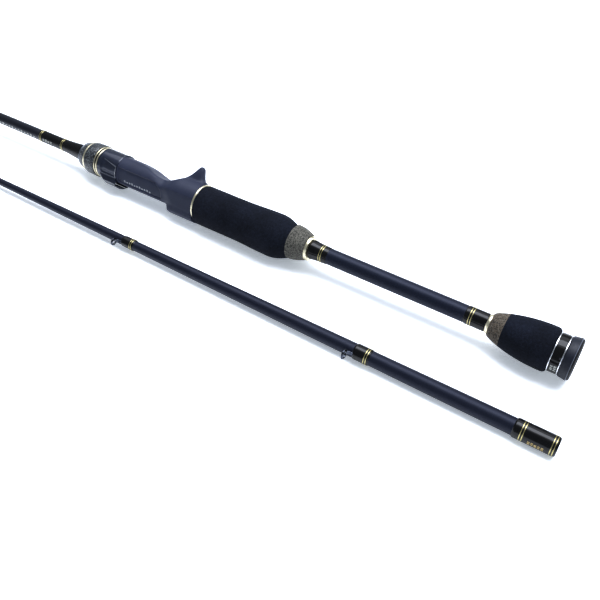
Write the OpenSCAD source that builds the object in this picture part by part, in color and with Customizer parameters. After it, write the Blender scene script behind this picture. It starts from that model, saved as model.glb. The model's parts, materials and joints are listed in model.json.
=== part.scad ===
// Two-piece baitcasting rod, lying as two sections side by side.
// X runs along the butt section's axis from the butt end towards the tip, Z is up,
// and the origin is the centre of the butt end face. Lengths are millimetres.

/* [Blank of the butt section] */
// Length from the butt end to the start of the male ferrule
butt_length = 988; // [800:4:1200]
// Length of the male ferrule
ferrule_length = 60; // [40:5:80]
// Radius of the male ferrule
ferrule_r = 3.6; // [3.2:0.1:4]
// Radius of the blank inside the handle
blank_r = 4.55; // [4.3:0.05:4.6]
// Wall of the butt blank
blank_wall = 1; // [0.6:0.1:1.4]
// Distance from the butt end at which the blank starts to taper
taper_start = 300; // [290:5:320]

/* [Handle] */
// Outer radius of the carbon handle tube
tube_r = 5.4; // [5.2:0.1:6]
// Radius of the butt cap's end face
cap_r = 12.9; // [11.5:0.1:13.5]
// Length of the butt cap
cap_length = 6.3; // [4:0.1:12]
// Length of the glossy band in front of the cap, with its two silver rings
band_length = 6.7; // [5:0.1:10]
// Width of one silver ring
silver_w = 1; // [0.6:0.1:2]
// Radius of the glossy band
band_r = 11.9; // [11:0.1:12.5]
// Largest radius of the butt grip
butt_grip_r = 13.5; // [12.8:0.1:15]
// Length of the butt grip
butt_grip_length = 28.7; // [20:0.1:60]
// Length of the cork ring in front of the butt grip
butt_cork_length = 8.3; // [5:0.1:12]
// Length of a gold winding check
check_length = 2; // [1.2:0.1:3]
// Length of each glossy thread wrap on the handle tube
wrap_length = 13.5; // [10:0.5:20]
// Bare length of handle tube between the two wraps
tube_bare = 94.5; // [60:0.5:260]
// Length of the cork ring behind the palm grip
palm_cork_length = 12; // [8:0.5:16]
// Length of the palm grip
palm_grip_length = 76; // [60:1:120]
// Largest radius of the palm grip
palm_grip_r = 14.9; // [13.8:0.1:16]
// How far the palm grip's middle lies off the rod's axis, towards the reel
palm_swell = 0.9; // [0:0.1:1.5]

/* [Reel seat] */
// Angle that the reel side of the handle points below the horizontal
seat_roll = 50; // [30:5:90]
// Length of the reel seat's body, from its rear ring to the hood
seat_length = 72.9; // [72:0.1:80]
// Half width of the reel seat's body
seat_half_w = 11.4; // [11:0.1:12]
// Distance from the axis to the face that the reel foot sits on
deck_h = 10.4; // [10:0.1:10.8]
// Half width of the face that the reel foot sits on
deck_half_w = 7.4; // [6.8:0.1:8]
// Distance from the axis to the end of the trigger
trigger_reach = 23.3; // [20:0.1:26]
// Thickness of the trigger
trigger_w = 7; // [5:0.5:9]
// Depth of the two pockets that hold the reel foot's ends
pocket_depth = 12; // [8:0.5:13]
// Room in a pocket above the deck for the reel foot
pocket_h = 2.7; // [2.4:0.1:2.9]
// Half width of the pockets
pocket_half_w = 6.9; // [6.5:0.1:7.2]
// Crest radius of the seat's thread
thread_r = 8; // [7.8:0.1:8.2]
// Pitch of the seat's thread
thread_pitch = 2; // [1.5:0.5:3]
// How far the hood slides forward to take a reel foot
hood_travel = 14; // [8:1:18]
// Length of the sliding hood
hood_length = 19; // [17:0.5:22]
// Radius of the sliding hood
hood_r = 11.5; // [11:0.1:12]

/* [Lock nut] */
// Length of the double gold ring at the back of the lock nut
nut_ring_length = 3.7; // [3:0.1:5]
// Length of the textured grip of the lock nut
nut_grip_length = 9.2; // [8:0.1:14]
// Radius of the textured grip of the lock nut
nut_grip_r = 12.1; // [11.8:0.1:13]
// Length of the single gold ring in front of the grip
nut_front_length = 1.8; // [1.4:0.1:3]
// Length of the textured cone in front of that ring
nut_cone_length = 5.6; // [4:0.1:8]
// Length of the thin ring at the front end of the lock nut
nut_end_length = 1.3; // [1:0.1:2]

/* [Tip section] */
// Distance between the axes of the two sections
section_gap = 53.3; // [45:0.1:80]
// How far the open end of the tip section lies behind the butt end
mouth_back = 10; // [0:1:30]
// Radius of the tip section's blank at its open end
mouth_r = 5; // [4.9:0.05:5.2]
// Length of the glossy wrap on the open end
ferrule_wrap_length = 23.5; // [20:0.5:30]
// Angle that the tip section's guides point above the horizontal
tip_roll = 20; // [-10:5:60]

/* [Guides] */
// Distance from the open end to the first guide ring of the tip section
first_guide = 122; // [100:1:150]
// Distance from the first to the second guide ring
guide_step = 182; // [160:1:190]
// How much each distance is shorter than the one before
guide_shrink = 15; // [8:1:18]
// Outer radius of the first ring insert of the tip section
micro_ring_r = 2.8; // [2.6:0.1:3.2]
// Outer radius of the tip section's other ring inserts
small_ring_r = 2.2; // [1.9:0.1:2.4]
// Distance from the butt end to the first guide ring of the butt section
stripper_at = 645; // [560:5:700]
// Outer radius of that ring insert
stripper_ring_r = 5.3; // [4.8:0.1:5.6]
// Distance from the butt end to the second guide ring of the butt section
second_at = 885; // [800:5:920]
// Outer radius of that ring insert
second_ring_r = 3.5; // [3.2:0.1:3.6]

/* [Hidden] */

round_fn = 72;
glue_gap = 0.05;      // glue line between a sleeve and what it slides over
slide_gap = 0.3;      // room between pieces that move past each other
thread_gap = 0.05;    // radial running clearance of the nut on the thread
ferrule_gap = 0.05;   // radial clearance of the ferrule

// Places along the butt section
silver_front_x = cap_length + band_length - silver_w;
butt_grip_x = cap_length + band_length;
butt_cork_x = butt_grip_x + butt_grip_length;
butt_check_x = butt_cork_x + butt_cork_length;
butt_wrap_x = butt_check_x + check_length;
palm_wrap_x = butt_wrap_x + wrap_length + tube_bare;
palm_check_x = palm_wrap_x + wrap_length;
palm_cork_x = palm_check_x + check_length;
palm_grip_x = palm_cork_x + palm_cork_length;
seat_ring_x = palm_grip_x + palm_grip_length;
seat_ring_w = 1.5;
seat_x = seat_ring_x + seat_ring_w;
seat_front_x = seat_x + seat_length;
lip_x = seat_x + 26;
hood_x = seat_front_x + slide_gap;
hood_front_x = hood_x + hood_length;
nut_x = hood_front_x + slide_gap;
nut_grip_x = nut_x + nut_ring_length;
nut_front_x = nut_grip_x + nut_grip_length;
nut_cone_x = nut_front_x + nut_front_length;
nut_end_x = nut_cone_x + nut_cone_length;
nut_stop_x = nut_end_x + nut_end_length;
tube_start = 2.5;
tube_end = seat_x + 20;
cone_x = nut_end_x;
cone_length = hood_travel + 16;    // the nut runs over its thick end
male_end = butt_length + ferrule_length;

// Radii along the handle
tube_bore_r = tube_r + glue_gap;
wrap_r = tube_r + 0.3;
cork_rear_r = 10.2;
cork_front_r = 7.4;
palm_check_r = 8.3;
palm_cork_rear_r = 8.7;
palm_cork_front_r = 11.6;
seat_ring_r = 13.4;
seat_r = seat_ring_r - 0.1;
sleeve_r = thread_r + 1;
nut_bore_r = thread_r + thread_gap;
band_proud = 0.15;
thread_band_w = 0.8;
band_pitch = 1.6;

// Reel seat
key_h = thread_r - 1;            // flat on the barrel that keeps the hood from turning
pocket_floor_h = deck_h - 0.2;
rear_roof_h = deck_h + pocket_h + 2.2;
hood_roof_h = deck_h + pocket_h + 1.3;

// Guides: the frame's rim round an insert, and the foot that is wrapped to the blank
rim = 0.45;
ring_w = 1.6;
rim_w = 0.8;
foot_t = 0.5;
foot_w = 1.6;
guide_wrap_t = 0.75;
foot_length = 10;
tip_tube_length = 10;

floor_z = -palm_grip_r - palm_swell*sin(seat_roll);
ferrule_wrap_t = 0.65;
tip_z = floor_z + mouth_r + ferrule_wrap_t + band_proud;
tip_length = first_guide + 6*guide_step - 15*guide_shrink;

// Outline of each blank: distance along it, and radius
butt_taper = [[tube_start, blank_r], [taper_start, blank_r], [butt_length, ferrule_r], [male_end, ferrule_r]];
tip_taper = [[0, mouth_r], [ferrule_length + 10, mouth_r - 0.25], [tip_length*0.16, 4.25],
             [tip_length*0.32, 3.25], [tip_length*0.43, 2.55], [tip_length*0.62, 1.9],
             [tip_length*0.82, 1.4], [tip_length, 1]];
stripper_h = (-floor_z - stripper_ring_r - rim)/sin(seat_roll);
second_h = ring_h(second_at, second_ring_r, butt_taper);

function guide_u(i) = first_guide + i*guide_step - guide_shrink*i*(i - 1)/2;
function guide_ring_r(i) = i == 0 ? micro_ring_r : small_ring_r;
function ring_h(x, insert_r, taper) = lookup(x, taper) + insert_r + rim + 1;
function ease(a, b, t) = a + (b - a)*(1 - cos(180*t))/2;
function reversed(list) = [for (i = [len(list) - 1:-1:0]) list[i]];

// Points on a blank between x0 and x1, raised by t
function along(x0, x1, t, taper) = concat(
    [[x0, lookup(x0, taper) + t]],
    [for (p = taper) if (p[0] > x0 && p[0] < x1) [p[0], p[1] + t]],
    [[x1, lookup(x1, taper) + t]]);

// A solid of revolution round X; each point of the outline is [distance along X, radius]
module turned(outline) {
    rotate([0, 90, 0])
        rotate_extrude($fn = round_fn)
            polygon([for (p = outline) [p[1], p[0]]]);
}

// A ring round X between x0 and x1, with its outer edges broken
module ring(x0, x1, inner, outer, edge = 0.15) {
    turned([[x0, inner], [x0, outer - edge], [x0 + edge, outer], [x1 - edge, outer],
            [x1, outer - edge], [x1, inner]]);
}

// A thin sleeve that follows a blank's taper, from height low to height high above its surface
module sleeve(x0, x1, low, high, taper) {
    turned(concat(along(x0, x1, high, taper), reversed(along(x0, x1, low, taper))));
}

module rod(x0, x1, r) {
    translate([x0, 0, 0])
        rotate([0, 90, 0])
            cylinder(r = r, h = x1 - x0, $fn = round_fn);
}

// Turns a piece drawn with the reel side along +Y to where the handle's reel side points
module on_reel_side() {
    rotate([-seat_roll, 0, 0])
        children();
}

// Puts a piece drawn along the tip section, with its guides along +Y, in its place
module at_tip_section() {
    translate([-mouth_back, section_gap, tip_z])
        rotate([tip_roll, 0, 0])
            children();
}

// ---- Butt section: blank and handle ----

module butt_blank() {
    color("#2b2e38")
        turned(concat(butt_taper, reversed([for (p = butt_taper) [p[0], p[1] - blank_wall]])));
}

module ferrule_plug() {
    bore = ferrule_r - blank_wall;
    color("#15161a")
        turned([[male_end - 6, 0], [male_end - 6, bore], [male_end, bore], [male_end, ferrule_r - 0.3],
                [male_end + 1, ferrule_r - 0.8], [male_end + 1, 0]]);
}

module handle_tube() {
    color("#343846")
        ring(tube_start, tube_end, blank_r + glue_gap, tube_r, 0.05);
}

module butt_end_disc() {
    color("#101116")
        turned([[0, 0], [0, cap_r - 3.4], [1.4, cap_r - 3.4], [1.4, 0]]);
}

module butt_cap() {
    color("#363a45")
        turned([[1.4, 0], [1.4, cap_r - 3.4], [0, cap_r - 3.4], [0, cap_r - 0.6], [0.6, cap_r],
                [cap_length - 0.4, band_r + 0.2], [cap_length, band_r - 0.1],
                [cap_length, tube_bore_r], [tube_start, tube_bore_r], [tube_start, 0]]);
}

module butt_silver_rings() {
    color("#d9dce0")
        for (x = [cap_length, silver_front_x])
            ring(x, x + silver_w, tube_bore_r, band_r + 0.1);
}

module butt_band() {
    color("#191a21")
        ring(cap_length + silver_w, silver_front_x, tube_bore_r, band_r - 0.1, 0.05);
}

// Foam grip that flares towards the butt
module butt_grip() {
    steps = 12;
    crown = 2.6;
    flare = [for (i = [0:steps])
        [butt_grip_x + crown + (butt_grip_length - crown)*i/steps,
         butt_grip_r + (cork_rear_r - butt_grip_r)*pow(i/steps, 2.2)]];
    color("#22252e")
        turned(concat([[butt_grip_x, tube_bore_r], [butt_grip_x, band_r + 0.2],
                       [butt_grip_x + crown/3, butt_grip_r - 0.5]],
                      flare, [[butt_cork_x, tube_bore_r]]));
}

module butt_cork_ring() {
    mid_x = butt_cork_x + butt_cork_length/2;
    color("#5d564c")
        turned([[butt_cork_x, tube_bore_r], [butt_cork_x, cork_rear_r],
                [mid_x, (cork_rear_r + cork_front_r)/2 + 0.4], [butt_check_x - 0.5, cork_front_r],
                [butt_check_x, cork_front_r - 0.4], [butt_check_x, tube_bore_r]]);
}

module butt_check() {
    color("#c9b27a")
        turned([[butt_check_x, tube_bore_r], [butt_check_x, wrap_r + 0.7],
                [butt_wrap_x - 0.4, wrap_r + 0.25], [butt_wrap_x, wrap_r], [butt_wrap_x, tube_bore_r]]);
}

// Thread wrap under clear varnish, round the handle tube
module handle_wrap(x0) {
    color("#14151b")
        ring(x0, x0 + wrap_length, tube_r, wrap_r, 0.2);
}

module butt_wrap() {
    handle_wrap(butt_wrap_x);
}

module palm_wrap() {
    handle_wrap(palm_wrap_x);
}

module handle_thread_bands() {
    butt_bands = butt_wrap_x + wrap_length - 5;
    palm_bands = palm_wrap_x + 3.4;
    color("#b99b58")
        for (x = [butt_bands, palm_bands], step = [0, band_pitch])
            ring(x + step, x + step + thread_band_w, wrap_r, wrap_r + band_proud, 0.08);
}

module palm_check() {
    color("#c9b27a")
        turned([[palm_check_x, tube_bore_r], [palm_check_x, palm_check_r - 0.5],
                [palm_check_x + 0.5, palm_check_r], [palm_cork_x, palm_check_r],
                [palm_cork_x, tube_bore_r]]);
}

module palm_cork_ring() {
    mid_x = palm_cork_x + palm_cork_length/2;
    color("#6b665e")
        turned([[palm_cork_x, tube_bore_r], [palm_cork_x, palm_cork_rear_r],
                [mid_x, palm_cork_rear_r + 1.9], [palm_grip_x, palm_cork_front_r],
                [palm_grip_x, tube_bore_r]]);
}

// Foam palm grip: it swells behind its middle, and its own axis lies towards the reel
module palm_grip() {
    steps = 10;
    waist_r = palm_grip_r - 0.9;
    crown_x = palm_grip_x + 14;
    waist_x = palm_grip_x + palm_grip_length*0.6;
    rear_r = palm_cork_front_r - palm_swell;
    back = [for (i = [0:steps])
        [palm_grip_x + (crown_x - palm_grip_x)*i/steps, rear_r + (palm_grip_r - rear_r)*sin(90*i/steps)]];
    front = [for (i = [1:steps])
        [crown_x + (waist_x - crown_x)*i/steps, ease(palm_grip_r, waist_r, i/steps)]];
    color("#22252e")
        on_reel_side()
            difference() {
                translate([0, palm_swell, 0])
                    turned(concat([[palm_grip_x, 0]], back, front,
                                  [[seat_ring_x - 1.2, waist_r], [seat_ring_x - 0.3, waist_r - 0.4],
                                   [seat_ring_x, waist_r - 1], [seat_ring_x, 0]]));
                rod(palm_grip_x - 1, seat_ring_x + 1, tube_bore_r);
            }
}

module seat_ring() {
    color("#d8cfae")
        ring(seat_ring_x, seat_x, tube_bore_r, seat_ring_r, 0.3);
}

// ---- Reel seat ----

// Side outline: X along the rod, +Y towards the reel. The trigger side dips to the finger valley.
module seat_side() {
    valley_x = seat_x + 32;
    valley_h = blank_r + 0.75;
    slope_x = seat_x + 57;
    top_h = seat_half_w - 1.2;
    steps = 8;
    slope = [for (i = [0:steps])
        [slope_x + (valley_x - slope_x)*i/steps, -ease(top_h, valley_h, i/steps)]];
    rise = [for (i = [1:steps])
        [valley_x - 12*i/steps, -valley_h - 5.5*pow(i/steps, 2)]];
    polygon(concat([[seat_front_x, deck_h], [seat_front_x, -top_h]], slope, rise,
                   [[seat_x, -seat_r], [seat_x, seat_r + 0.6], [seat_x + 9, rear_roof_h - 0.1],
                    [seat_x + 19, rear_roof_h], [lip_x, rear_roof_h - 1.4], [lip_x, deck_h]]));
}

// Section in front of the rear pocket: round towards the trigger, with flat sides down to the deck
module front_section() {
    circle(r = seat_half_w, $fn = round_fn);
    polygon([[-seat_half_w, 0], [seat_half_w, 0], [seat_half_w - 0.3, 2], [deck_half_w, deck_h],
             [-deck_half_w, deck_h], [-seat_half_w + 0.3, 2]]);
}

// Section round the rear pocket
module rear_section() {
    roof_half_w = pocket_half_w + 1.6;
    intersection() {
        circle(r = rear_roof_h, $fn = round_fn);
        union() {
            circle(r = seat_r, $fn = round_fn);
            translate([-roof_half_w, 0])
                square([2*roof_half_w, rear_roof_h]);
        }
    }
}

// Runs a section drawn with +Y towards the reel along X from x0 to x1
module run_section(x0, x1) {
    translate([x0, 0, 0])
        rotate([0, 90, 0])
            linear_extrude(x1 - x0)
                children();
}

module seat_body() {
    intersection() {
        translate([0, 0, -20])
            linear_extrude(40)
                seat_side();
        union() {
            run_section(lip_x - 1, seat_front_x)
                front_section();
            run_section(seat_x, lip_x)
                rear_section();
        }
    }
}

// Trigger fin: a concave front edge, a rounded tip and a straight back, thinner towards its tip
module seat_trigger() {
    base_h = 6;
    tip_x = seat_x + 9;
    steps = 8;
    front = [for (i = [0:steps])
        let (t = i/steps)
        [tip_x + 2.4 + 17*pow(1 - t, 1.7), -base_h - (trigger_reach - base_h - 1.2)*t]];
    side_w = trigger_w/2;
    intersection() {
        translate([0, 0, -side_w])
            linear_extrude(trigger_w)
                polygon(concat([[seat_x + 3, -base_h]], front,
                               [[tip_x + 1.6, -trigger_reach + 0.3], [tip_x, -trigger_reach],
                                [tip_x - 1.6, -trigger_reach + 1.2], [seat_x + 4.5, -seat_r]]));
        run_section(seat_x, lip_x + 10)
            polygon([[-side_w, -base_h + 1], [side_w, -base_h + 1], [side_w - 0.4, -seat_r],
                     [side_w - 1, -trigger_reach + 1.4], [side_w - 2, -trigger_reach],
                     [2 - side_w, -trigger_reach], [1 - side_w, -trigger_reach + 1.4],
                     [0.4 - side_w, -seat_r]]);
    }
}

// Threaded barrel in front of the seat's body, drawn as rings at the thread's pitch
module seat_barrel() {
    root_r = thread_r - 0.7;
    turns = floor((nut_end_x - hood_front_x)/thread_pitch);
    tooth = [[0, root_r], [0.35, thread_r], [0.7, thread_r], [1, root_r]];
    teeth = [for (i = [0:turns - 1], p = tooth)
        [hood_front_x + thread_pitch*(i + p[0]*0.98), p[1]]];
    difference() {
        turned(concat([[seat_front_x - 1, 0], [seat_front_x - 1, thread_r],
                       [hood_front_x - 1, thread_r], [hood_front_x - 0.5, root_r]],
                      teeth, [[nut_end_x, root_r], [nut_end_x, 0]]));
        translate([seat_front_x, key_h, -thread_r])
            cube([nut_end_x, thread_r, 2*thread_r]);
    }
}

// Room for one end of the reel foot, under a roof of radius roof_r
module foot_pocket(x0, x1, roof_r) {
    intersection() {
        translate([x0, pocket_floor_h, -pocket_half_w])
            cube([x1 - x0, pocket_h + deck_h - pocket_floor_h, 2*pocket_half_w]);
        rod(x0 - 1, x1 + 1, roof_r);
    }
}

module reel_seat() {
    color("#4a5064")
        on_reel_side()
            difference() {
                union() {
                    seat_body();
                    seat_trigger();
                    seat_barrel();
                }
                foot_pocket(lip_x - pocket_depth, lip_x + 1, rear_roof_h - 1.2);
                rod(seat_x - 1, nut_end_x + 1, blank_r + glue_gap);
                rod(seat_x - 1, tube_end, tube_bore_r);
            }
}

// Sliding hood: a round shell with a pocket for the front of the reel foot
module hood() {
    roof_half_w = pocket_half_w + 1.6;
    color("#30343f")
        on_reel_side()
            difference() {
                union() {
                    ring(hood_x, hood_front_x, 0, hood_r, 0.4);
                    intersection() {
                        turned([[hood_x, 0], [hood_x, hood_roof_h - 0.3], [hood_x + 2, hood_roof_h],
                                [hood_front_x - 7, hood_roof_h - 0.4], [hood_front_x - 1.5, hood_r - 0.2],
                                [hood_front_x - 1.5, 0]]);
                        translate([hood_x, 0, -roof_half_w])
                            cube([hood_length, hood_roof_h, 2*roof_half_w]);
                    }
                }
                difference() {
                    rod(hood_x - 1, hood_front_x + 1, thread_r + 0.1);
                    translate([hood_x - 2, key_h + slide_gap, -2*thread_r])
                        cube([hood_length + 4, 2*thread_r, 4*thread_r]);
                }
                foot_pocket(hood_x - 1, hood_x + pocket_depth, hood_roof_h - 1);
            }
}

// ---- Lock nut ----

module nut_sleeve() {
    color("#8d8f94")
        ring(nut_x, nut_end_x, nut_bore_r, sleeve_r, 0.1);
}

module nut_rear_rings() {
    top = nut_grip_r - 0.6;
    mid = nut_x + nut_ring_length/2;
    color("#d8cfae")
        turned([[nut_x, sleeve_r], [nut_x, top - 0.4], [nut_x + 0.4, top], [mid - 0.5, top],
                [mid - 0.2, top - 0.5], [mid + 0.2, top - 0.5], [mid + 0.5, top],
                [nut_grip_x - 0.2, top], [nut_grip_x, top - 0.2], [nut_grip_x, sleeve_r]]);
}

module nut_grip() {
    color("#4c4e50")
        ring(nut_grip_x, nut_front_x, sleeve_r, nut_grip_r, 0.5);
}

module nut_front_ring() {
    color("#d8cfae")
        ring(nut_front_x, nut_cone_x, sleeve_r, nut_grip_r - 0.5, 0.3);
}

module nut_cone() {
    color("#55534f")
        turned([[nut_cone_x, sleeve_r], [nut_cone_x, nut_grip_r - 0.9],
                [nut_cone_x + nut_cone_length/2, nut_grip_r - 1.6], [nut_end_x, sleeve_r + 0.5],
                [nut_end_x, sleeve_r]]);
}

module nut_end_ring() {
    color("#c9ccd0")
        ring(nut_end_x, nut_stop_x, nut_bore_r, sleeve_r + 0.4, 0.3);
}

// Glossy tapered sleeve that runs the handle down to the blank
module fore_cone() {
    steps = 8;
    wide_r = thread_r - 0.8;
    end_x = cone_x + cone_length;
    end_r = lookup(end_x, butt_taper) + 0.1;
    outline = [for (i = [0:steps])
        [cone_x + cone_length*i/steps, end_r + (wide_r - end_r)*pow(1 - i/steps, 1.8)]];
    color("#1c1e25")
        turned(concat([[cone_x, lookup(cone_x, butt_taper)]], outline, [[end_x, end_r - 0.1]]));
}

module blank_thread_bands() {
    color("#b99b58") {
        for (x = [cone_x + cone_length + 1, butt_length - 5], step = [0, band_pitch])
            sleeve(x + step, x + step + thread_band_w, 0, band_proud, butt_taper);
        foot_bands(stripper_at, stripper_h, stripper_ring_r, butt_taper, -1);
        foot_bands(stripper_at, stripper_h, stripper_ring_r, butt_taper, 1);
        foot_bands(second_at, second_h, second_ring_r, butt_taper, -1);
    }
}

// ---- Guides. side is -1 for a foot towards the butt and 1 for a foot towards the tip ----

// How far along the rod a leg leans before it reaches the blank
function lean(x, h, insert_r, taper) = max(2, (h - 0.8*(insert_r + rim) - lookup(x, taper))*0.6);
function foot_start(x, h, insert_r, taper) = lean(x, h, insert_r, taper) + 0.8;
function foot_stop(x, h, insert_r, taper) = lean(x, h, insert_r, taper) + foot_length + 1.5;

// Ring insert with a rounded throat, its centre at height h
module guide_ring(x, h, insert_r) {
    inner = insert_r - max(0.75, insert_r*0.22);
    mid = (inner + insert_r)/2;
    translate([x, h, 0])
        turned([[-ring_w/2, mid + 0.1], [-ring_w/2, mid - 0.1], [-ring_w/4, inner + 0.08], [0, inner],
                [ring_w/4, inner + 0.08], [ring_w/2, mid - 0.1], [ring_w/2, mid + 0.1],
                [ring_w/4, insert_r], [-ring_w/4, insert_r]]);
}

// Flat blade of a leg and its foot, running on into the blank
module leg_blade(x, h, insert_r, taper, side) {
    top = h - 0.8*(insert_r + rim);
    reach = lean(x, h, insert_r, taper);
    near_r = lookup(x + side*reach, taper);
    far_r = lookup(x + side*(reach + foot_length), taper);
    translate([x, 0, -foot_w/2])
        linear_extrude(foot_w)
            polygon([[0, top + 0.5], [-side*0.4, top + 0.5], [-side*0.4, top - 0.5],
                     [side*(reach - 0.5), 0.6*near_r], [side*(reach + foot_length), 0.6*far_r],
                     [side*(reach + foot_length), far_r + 0.15], [side*(reach + 1), near_r + foot_t],
                     [side*0.5, top + 0.5]]);
}

// Leg from the rim down to a foot that lies on the blank
module guide_leg(x, h, insert_r, taper, side) {
    difference() {
        leg_blade(x, h, insert_r, taper, side);
        turned(concat([[0, 0]], taper, [[taper[len(taper) - 1][0], 0]]));
    }
}

// Rim round the insert, with a leg and foot on each side named in sides
module guide_frame(x, h, insert_r, taper, sides) {
    difference() {
        union() {
            translate([0, h, 0])
                rod(x - rim_w/2, x + rim_w/2, insert_r + rim);
            for (side = sides)
                guide_leg(x, h, insert_r, taper, side);
        }
        translate([0, h, 0])
            rod(x - ring_w, x + ring_w, insert_r);
    }
}

// Varnished thread wrap that holds a foot down, cut away where the foot lies
module guide_wrap(x, h, insert_r, taper, side) {
    ends = [x + side*foot_start(x, h, insert_r, taper), x + side*foot_stop(x, h, insert_r, taper)];
    x0 = min(ends);
    x1 = max(ends);
    difference() {
        turned(concat([[x0, lookup(x0, taper)]], along(x0, x0 + 0.1, guide_wrap_t*0.4, taper),
                      along(x0 + 1.2, x1 - 1.2, guide_wrap_t, taper),
                      along(x1 - 0.1, x1, guide_wrap_t*0.4, taper),
                      reversed(along(x0, x1, 0, taper))));
        leg_blade(x, h, insert_r, taper, side);
    }
}

// Two thread bands over the far end of a guide's wrap
module foot_bands(x, h, insert_r, taper, side) {
    far = x + side*(foot_stop(x, h, insert_r, taper) - 1.4);
    for (step = [0, band_pitch])
        let (a = far - side*step, b = far - side*(step + thread_band_w))
            sleeve(min(a, b), max(a, b), guide_wrap_t, guide_wrap_t + band_proud, taper);
}

module stripper_frame() {
    color("#3c3f46")
        on_reel_side()
            guide_frame(stripper_at, stripper_h, stripper_ring_r, butt_taper, [-1, 1]);
}

module stripper_ring() {
    color("#c8ccd2")
        on_reel_side()
            guide_ring(stripper_at, stripper_h, stripper_ring_r);
}

module stripper_wraps() {
    color("#14151b")
        on_reel_side()
            for (side = [-1, 1])
                guide_wrap(stripper_at, stripper_h, stripper_ring_r, butt_taper, side);
}

module second_frame() {
    color("#3c3f46")
        on_reel_side()
            guide_frame(second_at, second_h, second_ring_r, butt_taper, [-1]);
}

module second_ring() {
    color("#c8ccd2")
        on_reel_side()
            guide_ring(second_at, second_h, second_ring_r);
}

module second_wrap() {
    color("#14151b")
        on_reel_side()
            guide_wrap(second_at, second_h, second_ring_r, butt_taper, -1);
}

// ---- Tip section ----

module tip_blank() {
    socket_r = ferrule_r + ferrule_gap;
    socket_end = ferrule_length + 2;
    bore = [[0, socket_r], [socket_end, socket_r], [socket_end + 1, socket_r - 0.35],
            [tip_length*0.43, 1.6], [tip_length*0.82, 0.6], [tip_length*0.9, 0]];
    color("#343846")
        at_tip_section()
            turned(concat(along(0, tip_length, 0, tip_taper), [[tip_length, 0]], reversed(bore)));
}

module ferrule_wrap() {
    color("#14151b")
        at_tip_section()
            sleeve(0, ferrule_wrap_length, 0, ferrule_wrap_t, tip_taper);
}

module ferrule_thread_bands() {
    color("#b99b58")
        at_tip_section()
            for (u = [1, 17.2], step = [0, band_pitch])
                sleeve(u + step, u + step + thread_band_w, ferrule_wrap_t, ferrule_wrap_t + band_proud,
                       tip_taper);
}

module guide_thread_bands() {
    color("#b99b58")
        at_tip_section()
            for (i = [0:5])
                foot_bands(guide_u(i), micro_h(i), guide_ring_r(i), tip_taper, -1);
}

function micro_h(i) = ring_h(guide_u(i), guide_ring_r(i), tip_taper);

module micro_frame(i) {
    color("#3c3f46")
        at_tip_section()
            guide_frame(guide_u(i), micro_h(i), guide_ring_r(i), tip_taper, [-1]);
}

module micro_ring(i) {
    color("#c8ccd2")
        at_tip_section()
            guide_ring(guide_u(i), micro_h(i), guide_ring_r(i));
}

module micro_wrap(i) {
    color("#14151b")
        at_tip_section()
            guide_wrap(guide_u(i), micro_h(i), guide_ring_r(i), tip_taper, -1);
}

// Tip guide: a tube over the end of the blank that carries the last ring
module tip_top_frame() {
    tube_x = tip_length - tip_tube_length;
    bore_r = lookup(tube_x, tip_taper) + 0.02;
    ring_x = tip_length + 2;
    color("#3c3f46")
        at_tip_section()
            difference() {
                union() {
                    turned([[tube_x, 0], [tube_x, bore_r + 0.3], [tube_x + 0.3, bore_r + 0.45],
                            [tip_length + 1, bore_r + 0.45], [ring_x + 0.4, 1], [ring_x + 0.4, 0]]);
                    translate([0, tip_top_h, 0])
                        rod(ring_x - rim_w/2, ring_x + rim_w/2, small_ring_r + rim);
                }
                rod(tube_x - 1, tip_length, bore_r);
                translate([0, tip_top_h, 0])
                    rod(ring_x - ring_w, ring_x + ring_w, small_ring_r);
            }
}

tip_top_h = small_ring_r + rim + 0.3;

module tip_top_ring() {
    color("#c8ccd2")
        at_tip_section()
            guide_ring(tip_length + 2, tip_top_h, small_ring_r);
}

butt_blank();
ferrule_plug();
handle_tube();
butt_end_disc();
butt_cap();
butt_silver_rings();
butt_band();
butt_grip();
butt_cork_ring();
butt_check();
butt_wrap();
handle_thread_bands();
palm_wrap();
palm_check();
palm_cork_ring();
palm_grip();
seat_ring();
reel_seat();
fore_cone();
blank_thread_bands();
stripper_frame();
stripper_ring();
stripper_wraps();
second_frame();
second_ring();
second_wrap();
hood();
nut_sleeve();
nut_rear_rings();
nut_grip();
nut_front_ring();
nut_cone();
nut_end_ring();
tip_blank();
ferrule_wrap();
ferrule_thread_bands();
guide_thread_bands();
tip_top_frame();
tip_top_ring();
for (i = [1:6]) {
    micro_frame(i - 1);
    micro_ring(i - 1);
    micro_wrap(i - 1);
}
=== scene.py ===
"""Two-piece casting rod: the butt section with its trigger seat, and the tip section beside it."""

import bpy
import json
from math import ceil, cos, hypot, pi, radians, sin
from mathutils import Matrix, Vector


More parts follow.
